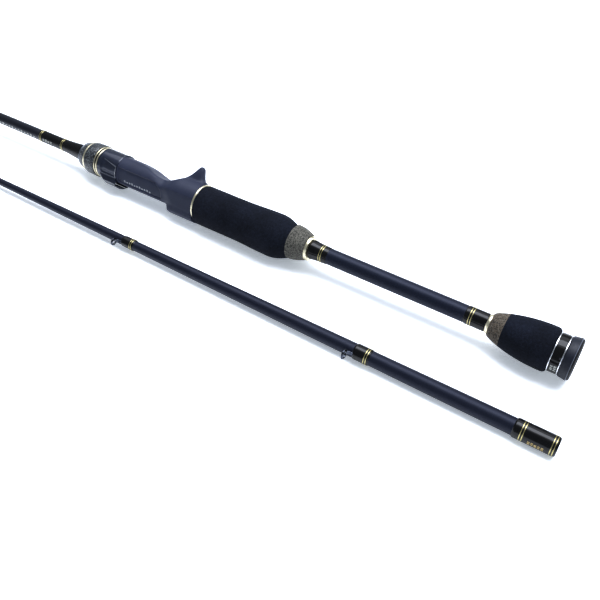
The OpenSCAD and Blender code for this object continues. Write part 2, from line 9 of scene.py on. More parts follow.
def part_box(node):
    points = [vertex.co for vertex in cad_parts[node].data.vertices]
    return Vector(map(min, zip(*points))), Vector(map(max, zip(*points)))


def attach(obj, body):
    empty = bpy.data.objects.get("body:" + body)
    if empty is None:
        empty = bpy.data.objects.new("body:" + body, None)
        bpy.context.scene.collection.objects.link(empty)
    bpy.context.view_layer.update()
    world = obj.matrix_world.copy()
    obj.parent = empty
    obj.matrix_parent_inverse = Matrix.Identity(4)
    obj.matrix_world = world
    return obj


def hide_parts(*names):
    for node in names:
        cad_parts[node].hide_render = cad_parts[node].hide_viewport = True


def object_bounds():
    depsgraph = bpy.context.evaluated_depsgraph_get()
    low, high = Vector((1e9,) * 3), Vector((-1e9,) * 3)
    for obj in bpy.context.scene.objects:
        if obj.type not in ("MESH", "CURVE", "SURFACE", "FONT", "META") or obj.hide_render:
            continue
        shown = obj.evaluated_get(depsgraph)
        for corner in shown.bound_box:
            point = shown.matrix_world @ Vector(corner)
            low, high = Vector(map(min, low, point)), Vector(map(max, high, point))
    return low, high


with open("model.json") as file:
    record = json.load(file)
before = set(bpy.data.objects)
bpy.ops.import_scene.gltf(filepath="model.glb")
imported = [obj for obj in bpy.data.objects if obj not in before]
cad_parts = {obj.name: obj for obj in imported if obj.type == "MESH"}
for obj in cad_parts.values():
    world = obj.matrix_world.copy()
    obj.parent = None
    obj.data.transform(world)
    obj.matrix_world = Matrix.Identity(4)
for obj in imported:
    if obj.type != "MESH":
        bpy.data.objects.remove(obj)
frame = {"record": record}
cad_box = [list(corner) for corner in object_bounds()]

# ---- Camera ----
# It stands over the tip section and looks down along the rod, so both sections run out of view.
camera_data = bpy.data.cameras.new("camera")
camera_data.sensor_width = 36
camera_data.lens = 41.4
camera = bpy.data.objects.new("camera", camera_data)
bpy.context.scene.collection.objects.link(camera)
camera.location = (-0.01208, 0.29324, 0.28639)
camera.rotation_mode = "QUATERNION"
camera.rotation_quaternion = Vector((0.3998, -0.6015, -0.6917)).to_track_quat("-Z", "Y")
camera_data.clip_start = 0.01
camera_data.clip_end = 20
bpy.context.scene.camera = camera

# ---- Floor and lamps ----
# Thin white paper on a light table, under a long softbox and a wide white ceiling. The softbox draws
# the highlight along every tube, the ceiling softens the shadows, and a small card lifts the near
# sides. The room around is dim.


def tone(code):
    """An sRGB hex colour as linear RGBA."""
    parts = [int(code[i:i + 2], 16) / 255 for i in (1, 3, 5)]
    return tuple(p / 12.92 if p <= 0.04045 else ((p + 0.055) / 1.055) ** 2.4 for p in parts) + (1.0,)


def start(name):
    """An empty material, ready for nodes."""
    made = bpy.data.materials.new(name)
    made.use_nodes = True
    made.node_tree.nodes.clear()
    return made


def add(made, kind, inputs=None, **settings):
    """Adds a shader node. An input is a value, or (node, output name) for a link."""
    piece = made.node_tree.nodes.new("ShaderNode" + kind)
    for key, value in settings.items():
        setattr(piece, key, value)
    for key, value in (inputs or {}).items():
        if isinstance(value, tuple) and isinstance(value[0], bpy.types.Node):
            made.node_tree.links.new(value[0].outputs[value[1]], piece.inputs[key])
        else:
            piece.inputs[key].default_value = value
    return piece


floor_z = cad_box[0][2]
floor_mesh = bpy.data.meshes.new("paper")
floor_half = 40
floor_corners = [(x * floor_half, y * floor_half, floor_z) for x, y in ((-1, -1), (1, -1), (1, 1), (-1, 1))]
floor_mesh.from_pydata(floor_corners, [], [(0, 1, 2, 3)])
floor = bpy.data.objects.new("paper", floor_mesh)
bpy.context.scene.collection.objects.link(floor)
paper = start("white paper")
fibres = add(paper, "TexNoise", {"Scale": 900.0, "Detail": 3.0})
paper_tones = add(paper, "Mix", {0: (fibres, "Fac"), 6: tone("#f6f8fb"), 7: tone("#fbfcfe")},
                  data_type="RGBA")
paper_shader = add(paper, "BsdfPrincipled", {
    "Base Color": (paper_tones, 2), "Roughness": 0.9, "Emission Color": tone("#eef5fb"),
    "Emission Strength": 0.42})
add(paper, "OutputMaterial", {"Surface": (paper_shader, "BSDF")})
floor_mesh.materials.append(paper)


def lamp(name, place, aim, width, height, watts, tint):
    """A rectangular lamp that stands at a place and faces an aim, in metres."""
    data = bpy.data.lights.new(name, "AREA")
    data.shape = "RECTANGLE"
    data.size = width
    data.size_y = height
    data.energy = watts
    data.color = tone(tint)[:3]
    made = bpy.data.objects.new(name, data)
    bpy.context.scene.collection.objects.link(made)
    made.location = place
    made.rotation_mode = "QUATERNION"
    made.rotation_quaternion = (Vector(aim) - Vector(place)).to_track_quat("-Z", "Y")


lamp("softbox", (0.25, -0.35, 1.5), (0.25, 0, 0), 2.0, 0.9, 34, "#f0f4ff")
lamp("ceiling", (0.3, -0.9, 2.2), (0.3, 0, 0), 4.5, 3.4, 75, "#f6f8ff")
lamp("front card", (-0.7, 1.5, 0.5), (0.2, 0, 0), 0.9, 0.4, 2.5, "#dfe9ff")

world = bpy.data.worlds.new("studio")
bpy.context.scene.world = world
world.use_nodes = True
world.node_tree.nodes["Background"].inputs["Color"].default_value = tone("#e4edf6")
world.node_tree.nodes["Background"].inputs["Strength"].default_value = 0.42
# the plain display transform with a firmer gamma keeps the paper white and the blacks deep
bpy.context.scene.view_settings.view_transform = "Standard"
bpy.context.scene.view_settings.gamma = 0.76

# ---- Butt section's blank ----
# Tapered tube of carbon cloth rolled on a steel mandrel and bound with tape for the oven. Under the
# satin clear coat the tape leaves a fine spiral. Its slim end is the male half of the ferrule.
MM = 0.001
ROUND = 96
CRISP = radians(38)
# a wave pattern at scale 1 repeats every 2 pi / 20 metres
WAVE = 2 * pi / 20


def skin(name, stations, angles, reach, place=Matrix()):
    """A closed skin round X. stations are mm along X and angles are radians; reach gives the radius in
    mm at a station and an angle. Its map runs in metres, along X and round the girth."""
    count = len(angles)
    spots = []
    for x in stations:
        for a in angles:
            r = reach(x, a)
            spots.append(place @ Vector((x * MM, r * cos(a) * MM, r * sin(a) * MM)))
    faces = []
    for i in range(len(stations) - 1):
        for j in range(count):
            k = (j + 1) % count
            faces.append((i * count + j, i * count + k, (i + 1) * count + k, (i + 1) * count + j))
    faces.append(tuple(reversed(range(count))))
    faces.append(tuple(range((len(stations) - 1) * count, len(stations) * count)))
    mesh = bpy.data.meshes.new(name)
    mesh.from_pydata(spots, [], faces)
    layer = mesh.uv_layers.new(name="skin")
    girth = reach(stations[len(stations) // 2], angles[0])
    for polygon in mesh.polygons:
        corners = [mesh.loops[i].vertex_index for i in polygon.loop_indices]
        wraps = max(c % count for c in corners) - min(c % count for c in corners) > count // 2
        for i, c in zip(polygon.loop_indices, corners):
            turn = angles[c % count] + (2 * pi if wraps and c % count < count // 2 else 0)
            layer.data[i].uv = (stations[c // count] * MM, turn * girth * MM)
    return finish_mesh(name, mesh)


def turned(name, outline, place=Matrix(), round_count=ROUND):
    """A piece turned on a lathe about X from a closed outline of (x, radius) points in mm."""
    spots = []
    for x, r in outline:
        for j in range(round_count):
            a = 2 * pi * j / round_count
            spots.append(place @ Vector((x * MM, r * cos(a) * MM, r * sin(a) * MM)))
    faces = []
    rows = len(outline)
    for i in range(rows):
        n = (i + 1) % rows
        for j in range(round_count):
            k = (j + 1) % round_count
            faces.append((i * round_count + j, i * round_count + k, n * round_count + k, n * round_count + j))
    mesh = bpy.data.meshes.new(name)
    mesh.from_pydata(spots, [], faces)
    layer = mesh.uv_layers.new(name="skin")
    girth = max(r for x, r in outline)
    for polygon in mesh.polygons:
        corners = [mesh.loops[i].vertex_index for i in polygon.loop_indices]
        wraps = max(c % round_count for c in corners) - min(c % round_count for c in corners) > 1
        for i, c in zip(polygon.loop_indices, corners):
            step = c % round_count + (round_count if wraps and c % round_count == 0 else 0)
            x, r = outline[c // round_count]
            layer.data[i].uv = (x * MM, 2 * pi * step / round_count * girth * MM)
    mesh.validate()
    return finish_mesh(name, mesh)


def finish_mesh(name, mesh):
    """Turns a mesh into an object with smooth faces and crisp edges."""
    made = bpy.data.objects.new(name.replace(" ", "_"), mesh)
    bpy.context.scene.collection.objects.link(made)
    for polygon in mesh.polygons:
        polygon.use_smooth = True
    mesh.set_sharp_from_angle(angle=CRISP)
    return made


def ease_edges(made, width):
    """Breaks a piece's crisp edges by width mm, as polishing does."""
    bevel = made.modifiers.new("broken edges", "BEVEL")
    bevel.width = width * MM
    bevel.segments = 2
    bevel.limit_method = "ANGLE"
    bevel.angle_limit = CRISP
    bevel.harden_normals = False


def fit(made, material, body, slot, *nodes):
    """Gives a piece its finish and its body, and hides the frame's nodes that it stands for. slot is not
    used.
    """
    made.data.materials.clear()
    made.data.materials.append(material)
    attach(made, body)
    if nodes:
        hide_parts(*nodes)
    return made


def span(node):
    """Where a node starts and ends along X, and its radius, in mm."""
    low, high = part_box(node)
    return low.x / MM, high.x / MM, (high.z - low.z) / 2 / MM


def carbon(name, dark, light, gloss, satin, tape):
    """Rolled carbon tube under a clear coat: fibres along the rod, and the oven tape's spiral. tape is
    how far one turn of the tape moves along, in mm."""
    made = start(name)
    where = add(made, "UVMap", uv_map="skin")
    # fibres are 7 micrometres; they are drawn about 0.2 mm wide and 8 mm long, so that they show
    stretch = add(made, "Mapping", {"Vector": (where, "UV"), "Scale": (120.0, 5000.0, 1.0)})
    fibre = add(made, "TexNoise", {"Vector": (stretch, "Vector"), "Scale": 1.0, "Detail": 3.0})
    slant = add(made, "Mapping", {"Vector": (where, "UV"), "Rotation": (0, 0, radians(4))})
    # each turn of the tape leaves a low step
    spiral = add(made, "TexWave", {"Vector": (slant, "Vector"), "Scale": WAVE / (tape * MM),
                                   "Distortion": 0.4, "Detail": 1.0, "Detail Scale": 60.0},
                 wave_type="BANDS", bands_direction="X", wave_profile="SAW")
    tones = add(made, "Mix", {0: (fibre, "Fac"), 6: tone(dark), 7: tone(light)}, data_type="RGBA")
    shade = add(made, "MapRange", {"Value": (spiral, "Fac"), "To Min": 0.86, "To Max": 1.06})
    tinted = add(made, "HueSaturation", {"Color": (tones, 2), "Value": (shade, "Result")})
    relief = add(made, "Math", {0: (spiral, "Fac"), 1: (fibre, "Fac")}, operation="ADD")
    bump = add(made, "Bump", {"Height": (relief, "Value"), "Strength": 0.12, "Distance": 0.00004})
    rough = add(made, "MapRange", {"Value": (fibre, "Fac"), "To Min": satin - 0.08, "To Max": satin + 0.08})
    shader = add(made, "BsdfPrincipled", {
        "Base Color": (tinted, "Color"), "Roughness": (rough, "Result"), "Normal": (bump, "Normal"),
        "Specular IOR Level": 0.4, "Specular Tint": tone("#d9dff5"), "Coat Weight": gloss,
        "Coat Roughness": 0.12})
    add(made, "OutputMaterial", {"Surface": (shader, "BSDF")})
    return made


blank_start, blank_end, blank_r = span("butt_blank")
mounts = {mount["name"]: mount["dims"] for mount in frame["record"]["mounts"]}
ferrule_r = mounts["ferrule_male"]["r_mm"]
ferrule_x = blank_end - mounts["ferrule_male"]["length_mm"]
blank_straight = 300
blank_wall = 1


def butt_blank_r(x):
    """Radius of the butt section's blank at x."""
    share = min(max((x - blank_straight) / (ferrule_x - blank_straight), 0), 1)
    return blank_r + (ferrule_r - blank_r) * share


gloss_carbon = carbon("clear-coated carbon", "#0a0c12", "#181b25", 0.5, 0.4, 1.508)
blank_outline = [(blank_start, blank_r - blank_wall), (blank_start, blank_r), (blank_straight, blank_r),
                 (ferrule_x, ferrule_r), (blank_end - 0.3, ferrule_r), (blank_end, ferrule_r - 0.3),
                 (blank_end, ferrule_r - blank_wall)]
blank = turned("butt blank", blank_outline)
fit(blank, gloss_carbon, "butt_section", "blank", "butt_blank")

# ---- Plug in the male ferrule ----
# Moulded nylon plug glued into the open end of the blank: it keeps grit out and the tube round.


def moulded(name, dark, light, rough, grain):
    """Moulded plastic: an even colour with the fine spark-eroded grain of its mould."""
    made = start(name)
    where = add(made, "TexCoord")
    cloud = add(made, "TexNoise", {"Vector": (where, "Object"), "Scale": 180.0, "Detail": 2.0})
    # mould grain of about 0.1 mm is drawn at its real size
    pits = add(made, "TexNoise", {"Vector": (where, "Object"), "Scale": 9000.0, "Detail": 1.0})
    tones = add(made, "Mix", {0: (cloud, "Fac"), 6: tone(dark), 7: tone(light)}, data_type="RGBA")
    bump = add(made, "Bump", {"Height": (pits, "Fac"), "Strength": grain, "Distance": 0.00003})
    spread = add(made, "MapRange", {"Value": (cloud, "Fac"), "To Min": rough - 0.06, "To Max": rough + 0.06})
    shader = add(made, "BsdfPrincipled", {"Base Color": (tones, 2), "Roughness": (spread, "Result"),
                                          "Normal": (bump, "Normal")})
    add(made, "OutputMaterial", {"Surface": (shader, "BSDF")})
    return made


black_nylon = moulded("moulded black nylon", "#0c0d11", "#15171d", 0.5, 0.2)
plug_end, plug_r = span("ferrule_plug")[1:]
plug_fit = 0.02
plug_outline = [(blank_end - 1, 0), (blank_end - 1, plug_r - plug_fit), (blank_end, plug_r - plug_fit),
                (plug_end - 0.4, plug_r - 0.35), (plug_end, plug_r - 0.9), (plug_end, 0)]
plug = turned("ferrule plug", plug_outline)
fit(plug, black_nylon, "butt_section", "cap", "ferrule_plug")

# ---- Handle tube ----
# Thicker tube of the same carbon between the two grips, left satin where the hand may pass over it.
satin_carbon = carbon("satin carbon", "#131722", "#252a3a", 0.0, 0.44, 2.0106)
tube_start, tube_end, tube_r = span("handle_tube")
tube = turned("handle tube", [(tube_start, tube_r - 0.6), (tube_start, tube_r), (tube_end, tube_r),
                              (tube_end, tube_r - 0.6)])
fit(tube, satin_carbon, "butt_section", "tube", "handle_tube")

# ---- Butt cap ----
# Rubbery moulded cap that closes the grip and takes the knocks. A small bead runs round the start
# of its rolled lip, painted light grey as a highlight on the rim's edge, and a softer disc is let into its
# face.
cap_rubber = moulded("thermoplastic rubber", "#151923", "#1f2432", 0.48, 0.5)
cap_end, cap_r = span("butt_cap")[1:]
band_start, band_end, band_r = span("butt_band")
disc_end, disc_r = span("butt_end_disc")[1:]
lip_depth = 1.5
bead_width = 0.35
cap_outline = [(lip_depth, disc_r), (lip_depth, cap_r - 0.1), (lip_depth + 0.2, cap_r),
               (cap_end * 0.5, cap_r - 0.35), (cap_end - 0.5, band_r + 0.4), (cap_end - 0.1, band_r + 0.15),
               (cap_end, band_r - 0.1), (cap_end, disc_r)]
cap = turned("butt cap", cap_outline)
ease_edges(cap, 0.12)
fit(cap, cap_rubber, "butt_section", "cap", "butt_cap")
bead_start = lip_depth - bead_width
bead_outline = [(bead_start, cap_r - 0.5), (bead_start, cap_r - 0.08), (lip_depth - bead_width / 2, cap_r),
                (lip_depth, cap_r - 0.08), (lip_depth, cap_r - 0.5)]
cap_bead = turned("butt cap bead", bead_outline)
# the bead's light grey is a painted highlight along the rim's edge, not the rubber's own colour
bead_highlight_paint = moulded("rubber bead with painted highlight", "#5a5f6b", "#757b88", 0.3, 0.1)
fit(cap_bead, bead_highlight_paint, "butt_section", "cap", "butt_cap")
soft_disc = moulded("soft rubber disc", "#08090c", "#101116", 0.6, 0.8)
lip_outline = [(lip_depth - 0.1, disc_r), (lip_depth - 0.1, cap_r - 0.45)]
for i in range(9):
    a = pi / 2 * i / 8
    lip_outline.append(((lip_depth - 0.2) * (1 - sin(a)), cap_r - 1.5 + 1.05 * cos(a)))
lip_outline += [(0, disc_r + 0.4), (0.35, disc_r + 0.1), (0.5, disc_r)]
cap_lip = turned("butt cap lip", lip_outline)
fit(cap_lip, soft_disc, "butt_section", "cap", "butt_cap")
# low rings are moulded on the disc's face
face_x = 0.5
ridge_x = 0.3
disc_outline = [(disc_end - 0.1, 0), (disc_end - 0.1, disc_r - 0.15)]
for i in range(6):
    ridge_r = disc_r - 0.4 - i * 1.4
    disc_outline += [(face_x, ridge_r), (ridge_x, ridge_r - 0.3), (ridge_x, ridge_r - 0.8),
                     (face_x, ridge_r - 1.1)]
disc = turned("butt end disc", disc_outline + [(face_x, 0)])
fit(disc, soft_disc, "butt_section", "cap", "butt_end_disc")

# ---- Silver rings and glossy band ----
# Two thin rings, turned from aluminium and polished, hold a glossy black band between cap and grip.


def turned_metal(name, dark, light, rough, lines):
    """Metal turned on a lathe: fine rings round the piece that blur its highlights."""
    made = start(name)
    where = add(made, "UVMap", uv_map="skin")
    # tool marks of 0.05 mm are drawn 0.12 mm apart, so that they show
    lay = add(made, "Mapping", {"Vector": (where, "UV"), "Scale": (8000.0, 60.0, 1.0)})
    marks = add(made, "TexNoise", {"Vector": (lay, "Vector"), "Scale": 1.0, "Detail": 2.0})
    tones = add(made, "Mix", {0: (marks, "Fac"), 6: tone(dark), 7: tone(light)}, data_type="RGBA")
    bump = add(made, "Bump", {"Height": (marks, "Fac"), "Strength": lines, "Distance": 0.00002})
    spread = add(made, "MapRange", {"Value": (marks, "Fac"), "To Min": rough - 0.05, "To Max": rough + 0.07})
    shader = add(made, "BsdfPrincipled", {"Base Color": (tones, 2), "Metallic": 1.0,
                                          "Roughness": (spread, "Result"), "Normal": (bump, "Normal")})
    add(made, "OutputMaterial", {"Surface": (shader, "BSDF")})
    return made


def band_outline(x0, x1, inner, outer, crown=0.12):
    """Outline of a ring whose face is slightly crowned between broken edges."""
    edge = min(0.25, (x1 - x0) / 4)
    return [(x0, inner), (x0, outer - edge), (x0 + edge * 0.3, outer - edge * 0.3), (x0 + edge, outer - 0.01),
            ((x0 + x1) / 2, outer - 0.01 + crown * 0.08), (x1 - edge, outer - 0.01),
            (x1 - edge * 0.3, outer - edge * 0.3), (x1, outer - edge), (x1, inner)]


silver = turned_metal("polished aluminium", "#dcdfe4", "#f4f5f7", 0.26, 0.15)
silver_start, silver_end, silver_r = span("butt_silver_rings")
silver_land = 0.22
for x0, x1 in ((silver_start, band_start), (band_end, silver_end)):
    ring = turned("silver ring", band_outline(x0 + silver_land, x1 - silver_land, silver_r - 2, silver_r))
    fit(ring, silver, "butt_section", "silver", "butt_silver_rings")


def varnish(name, dark, light, ridge):
    """Fine thread wound side by side and drowned in clear epoxy: black depth under a wet gloss."""
    made = start(name)
    where = add(made, "UVMap", uv_map="skin")
    # size A thread is 0.15 mm thick; its turns are drawn a little wider, so that they show
    thread = 0.1885
    lay = add(made, "Mapping", {"Vector": (where, "UV"), "Rotation": (0, 0, radians(1))})
    turns = add(made, "TexWave", {"Vector": (lay, "Vector"), "Scale": WAVE / (thread * MM),
                                  "Distortion": 0.3, "Detail": 1.0}, wave_type="BANDS", bands_direction="X")
    tones = add(made, "Mix", {0: (turns, "Fac"), 6: tone(dark), 7: tone(light)}, data_type="RGBA")
    bump = add(made, "Bump", {"Height": (turns, "Fac"), "Strength": ridge, "Distance": 0.00003})
    pool = add(made, "TexNoise", {"Vector": (where, "UV"), "Scale": 260.0, "Detail": 1.0})
    flow = add(made, "Bump", {"Height": (pool, "Fac"), "Strength": 0.12, "Distance": 0.0002})
    shader = add(made, "BsdfPrincipled", {
        "Base Color": (tones, 2), "Roughness": 0.5, "Specular IOR Level": 0.1, "Normal": (bump, "Normal"),
        "Coat Weight": 0.7, "Coat Roughness": 0.04, "Coat Normal": (flow, "Normal")})
    add(made, "OutputMaterial", {"Surface": (shader, "BSDF")})
    return made


black_gloss = varnish("black thread under epoxy", "#040406", "#0a0b0e", 0.25)
glossy_outline = band_outline(band_start - silver_land, band_end + silver_land, band_r - 2, band_r)
band = turned("glossy band", glossy_outline)
fit(band, black_gloss, "butt_section", "wrap", "butt_band")


def marks_round(name, x0, x1, reach, around, rows, columns, fill, material, body, slot, place=Matrix()):
    """Small printed bars on a round piece, in place of a maker's wording. around gives the first and
    last angle in degrees, and fill is how much of its column a bar takes up."""
    proud = 0.03
    steps = 4
    spots = []
    faces = []
    row_step = (around[1] - around[0]) / rows
    column_step = (x1 - x0) / columns
    for row in range(rows):
        for column in range(columns):
            left = x0 + column * column_step
            right = left + column_step * fill
            low = around[0] + row * row_step
            high = low + row_step * (0.55 + 0.3 * ((row + 2 * column) % 3) / 2)
            base = len(spots)
            for i in range(steps + 1):
                a = radians(low + (high - low) * i / steps)
                for x in (left, right):
                    r = reach(x, a) + proud
                    spots.append(place @ Vector((x * MM, r * cos(a) * MM, r * sin(a) * MM)))
            for i in range(steps):
                faces.append((base + 2 * i, base + 2 * i + 1, base + 2 * i + 3, base + 2 * i + 2))
    mesh = bpy.data.meshes.new(name)
    mesh.from_pydata(spots, [], faces)
    mesh.uv_layers.new(name="skin")
    return fit(finish_mesh(name, mesh), material, body, slot)


silver_ink = moulded("silver pad-print ink", "#8e918c", "#b5b7b0", 0.4, 0.1)
marks_round("band mark", band_start + 0.5, band_end - 0.3, lambda x, a: band_r, (-16, 6), 3, 2, 0.72,
            silver_ink, "butt_section", "silver")

# ---- Butt grip ----
# Closed-cell foam ground to a flare on a lathe, then reamed and glued to the tube. The ground cells
# give a dry black face with hardly any shine.


def foam(name, dark, light):
    """Ground closed-cell foam: open cells of about 0.2 mm, drawn at 0.3 mm so that they show."""
    made = start(name)
    where = add(made, "TexCoord")
    cells = add(made, "TexVoronoi", {"Vector": (where, "Object"), "Scale": 3300.0})
    cloud = add(made, "TexNoise", {"Vector": (where, "Object"), "Scale": 700.0, "Detail": 4.0})
    broad = add(made, "TexNoise", {"Vector": (where, "Object"), "Scale": 60.0, "Detail": 2.0})
    mixed = add(made, "Math", {0: (cells, "Distance"), 1: (cloud, "Fac")}, operation="MULTIPLY")
    tones = add(made, "Mix", {0: (mixed, "Value"), 6: tone(dark), 7: tone(light)}, data_type="RGBA")
    worn = add(made, "MapRange", {"Value": (broad, "Fac"), "From Min": 0.3, "From Max": 0.7,
                                  "To Min": 0.75, "To Max": 1.25})
    tinted = add(made, "HueSaturation", {"Color": (tones, 2), "Value": (worn, "Result")})
    bump = add(made, "Bump", {"Height": (mixed, "Value"), "Strength": 0.7, "Distance": 0.00012})
    shader = add(made, "BsdfPrincipled", {
        "Base Color": (tinted, "Color"), "Roughness": 0.88, "Normal": (bump, "Normal"),
        "Specular IOR Level": 0.2})
    add(made, "OutputMaterial", {"Surface": (shader, "BSDF")})
    return made


black_foam = foam("ground EVA foam", "#0c0f16", "#303646")
grip_start, grip_end, grip_r = span("butt_grip")
cork_start, cork_end, cork_r = span("butt_cork_ring")
crown = 2.6
grip_outline = [(grip_start, tube_r), (grip_start, band_r + 0.1), (grip_start + 0.3, grip_r - 0.9),
                (grip_start + 1.2, grip_r - 0.25)]
for i in range(25):
    t = i / 24
    grip_outline.append((grip_start + crown + (grip_end - grip_start - crown) * t,
                         grip_r + (cork_r - grip_r) * t ** 2.2))
grip = turned("butt grip", grip_outline + [(grip_end, tube_r)], round_count=128)
fit(grip, black_foam, "butt_section", "foam", "butt_grip")

# ---- Cork-and-rubber ring in front of the butt grip ----
# Granules of cork and black rubber pressed into a block and turned: tougher than plain cork, and
# speckled tan and black.


def granules(name, cork_tone, pale_tone, rubber_tone, size):
    """Pressed cork and rubber granules of the given size in mm."""
    made = start(name)
    where = add(made, "TexCoord")
    grains = add(made, "TexVoronoi", {"Vector": (where, "Object"), "Scale": 1 / (size * MM),
                                      "Randomness": 1.0})
    split = add(made, "SeparateColor", {"Color": (grains, "Color")})
    body = add(made, "Mix", {0: (split, "Green"), 6: tone(cork_tone), 7: tone(pale_tone)}, data_type="RGBA")
    black = add(made, "MapRange", {"Value": (split, "Red"), "From Min": 0.5, "From Max": 0.95})
    speckled = add(made, "Mix", {0: (black, "Result"), 6: (body, 2), 7: tone(rubber_tone)}, data_type="RGBA")
    fine = add(made, "TexNoise", {"Vector": (where, "Object"), "Scale": 3000.0, "Detail": 3.0})
    shade = add(made, "MapRange", {"Value": (fine, "Fac"), "To Min": 0.7, "To Max": 1.3})
    tinted = add(made, "HueSaturation", {"Color": (speckled, 2), "Value": (shade, "Result")})
    relief = add(made, "Math", {0: (grains, "Distance"), 1: (fine, "Fac")}, operation="ADD")
    bump = add(made, "Bump", {"Height": (relief, "Value"), "Strength": 0.5, "Distance": 0.0001})
    shader = add(made, "BsdfPrincipled", {"Base Color": (tinted, "Color"), "Roughness": 0.8,
                                          "Normal": (bump, "Normal")})
    add(made, "OutputMaterial", {"Surface": (shader, "BSDF")})
    return made


dark_cork = granules("dark rubber cork", "#574c3f", "#6c665c", "#2c2825", 0.55)
check_start, check_end, check_r = span("butt_check")
cork_front_r = check_r + 1
cork_outline = [(cork_start, tube_r), (cork_start, cork_r)]
for i in range(1, 9):
    t = i / 8
    cork_outline.append((cork_start + (cork_end - cork_start - 0.4) * t,
                         cork_r + (cork_front_r - cork_r) * t + 0.9 * t * (1 - t)))
cork = turned("butt cork ring", cork_outline + [(cork_end, cork_front_r - 0.4), (cork_end, tube_r)])
fit(cork, dark_cork, "butt_section", "cork", "butt_cork_ring")

# ---- Winding check behind the first wrap ----
# Thin ring of spun aluminium, anodised pale gold, pushed up against the cork to hide its end.
pale_gold = turned_metal("pale gold anodised aluminium", "#d9d0b0", "#f1ebd6", 0.32, 0.2)
check_outline = [(check_start, tube_r), (check_start, check_r - 0.1), (check_start + 0.3, check_r),
                 ((check_start + check_end) / 2, check_r - 0.2), (check_end - 0.2, tube_r + 0.5),
                 (check_end, tube_r + 0.25), (check_end, tube_r)]
check = turned("butt check", check_outline)
fit(check, pale_gold, "butt_section", "gold", "butt_check")

# ---- Wraps on the handle tube ----
# Black winding thread under epoxy, rounded off at both ends where the epoxy drew thin. Two narrow
# bands of metallic gold thread are wound over it, and the front wrap swells towards its check.


def wrap_outline(x0, x1, base, height):
    """Outline of a varnished wrap over a tube of radius base(x), rounded at both ends."""
    edge = min(1.6, (x1 - x0) / 4)
    outline = [(x0, base(x0) - 0.3)]
    for i in range(7):
        t = i / 6
        outline.append((x0 + edge * t, base(x0) + height * (1 - (1 - t) ** 2.5)))
    for i in range(1, 5):
        x = x0 + edge + (x1 - x0 - 2 * edge) * i / 5
        outline.append((x, base(x) + height))
    for i in range(7):
        t = i / 6
        outline.append((x1 - edge * (1 - t), base(x1) + height * (1 - t ** 2.5)))
    return outline + [(x1, base(x1) - 0.3)]


gold_thread = turned_metal("gold metallic thread under epoxy", "#948a5c", "#d2ca9c", 0.3, 0.5)


def thread_pair(name, centre, base, body, node, place=Matrix()):
    """Two gold bands, each a few turns of thread, rounded by the epoxy."""
    width = 0.5
    apart = 0.7
    proud = 0.12
    for x in (centre - apart - width / 2, centre + apart - width / 2):
        outline = [(x, base(x) - 0.1)]
        for i in range(7):
            t = i / 6
            outline.append((x + width * t, base(x) + proud * sin(pi * (0.12 + 0.76 * t))))
        band_piece = turned(name, outline + [(x + width, base(x) - 0.1)], place)
        fit(band_piece, gold_thread, body, "thread_gold", node)


def handle_wrap(node, swell, band_at):
    """A wrap on the handle tube, built up by swell mm towards its front end, with its gold bands part
    of the way along."""
    wrap_start, wrap_end, wrap_r = span(node)
    wrap_length = wrap_end - wrap_start

    def bound_r(x):
        return tube_r + swell * max((x - wrap_start) / wrap_length, 0) ** 2

    def face_r(x):
        return bound_r(x) + wrap_r - tube_r

    piece = turned(node.replace("_", " "), wrap_outline(wrap_start, wrap_end, bound_r, wrap_r - tube_r))
    fit(piece, black_gloss, "butt_section", "wrap", node)
    thread_pair("handle thread band", wrap_start + band_at * wrap_length, face_r, "butt_section",
                "handle_thread_bands")


handle_wrap("butt_wrap", 0.0, 0.72)
handle_wrap("palm_wrap", 0.8, 0.34)

# ---- Palm grip with its check and cork ring ----
# The same foam as the butt grip, ground off-centre so that it fills the palm, behind a seat ring.
# A paler rubber-cork ring and a gold check finish its rear end.
palm_check_start, palm_check_end, palm_check_r = span("palm_check")
palm_check = turned("palm check", band_outline(palm_check_start, palm_check_end, tube_r, palm_check_r))
fit(palm_check, pale_gold, "butt_section", "gold", "palm_check")

pale_cork = granules("pale rubber cork", "#54524c", "#747269", "#33322f", 0.55)
palm_cork_start, palm_cork_end, palm_cork_r = span("palm_cork_ring")
rear_r = palm_check_r + 0.4
palm_cork_outline = [(palm_cork_start, tube_r), (palm_cork_start, rear_r - 0.3),
                     (palm_cork_start + 0.3, rear_r)]
for i in range(1, 9):
    t = i / 8
    palm_cork_outline.append((palm_cork_start + 0.3 + (palm_cork_end - palm_cork_start - 0.3) * t,
                              rear_r + (palm_cork_r - rear_r) * sin(pi / 2 * t) ** 0.9))
palm_cork = turned("palm cork ring", palm_cork_outline + [(palm_cork_end, tube_r)])
fit(palm_cork, pale_cork, "butt_section", "cork", "palm_cork_ring")

seat_roll = radians(50)
reel_side = Matrix.Rotation(-seat_roll, 4, "X")
palm_start, palm_end, palm_r = span("palm_grip")
ring_start, ring_end, ring_r = span("seat_ring")
palm_swell = 0.9
waist_r = palm_r - 0.9
crown_x = palm_start + 14
waist_x = palm_start + (palm_end - palm_start) * 0.6
palm_rear_r = palm_cork_r - palm_swell
palm_outline = [(palm_start, tube_r)]
for i in range(15):
    t = i / 14
    palm_outline.append((palm_start + (crown_x - palm_start) * t,
                         palm_rear_r + (palm_r - palm_rear_r) * sin(pi / 2 * t)))
for i in range(1, 19):
    t = i / 18
    palm_outline.append((crown_x + (waist_x - crown_x) * t,
                         palm_r + (waist_r - palm_r) * (1 - cos(pi * t)) / 2))
palm_outline += [(palm_end - 1.2, waist_r), (palm_end - 0.35, waist_r - 0.3), (palm_end, waist_r - 0.9),
                 (palm_end, tube_r)]
palm = turned("palm grip", palm_outline, reel_side @ Matrix.Translation((0, palm_swell * MM, 0)), 128)
fit(palm, black_foam, "butt_section", "foam", "palm_grip")

seat_ring = turned("seat ring", band_outline(ring_start, ring_end, tube_r, ring_r))
fit(seat_ring, pale_gold, "butt_section", "gold", "seat_ring")

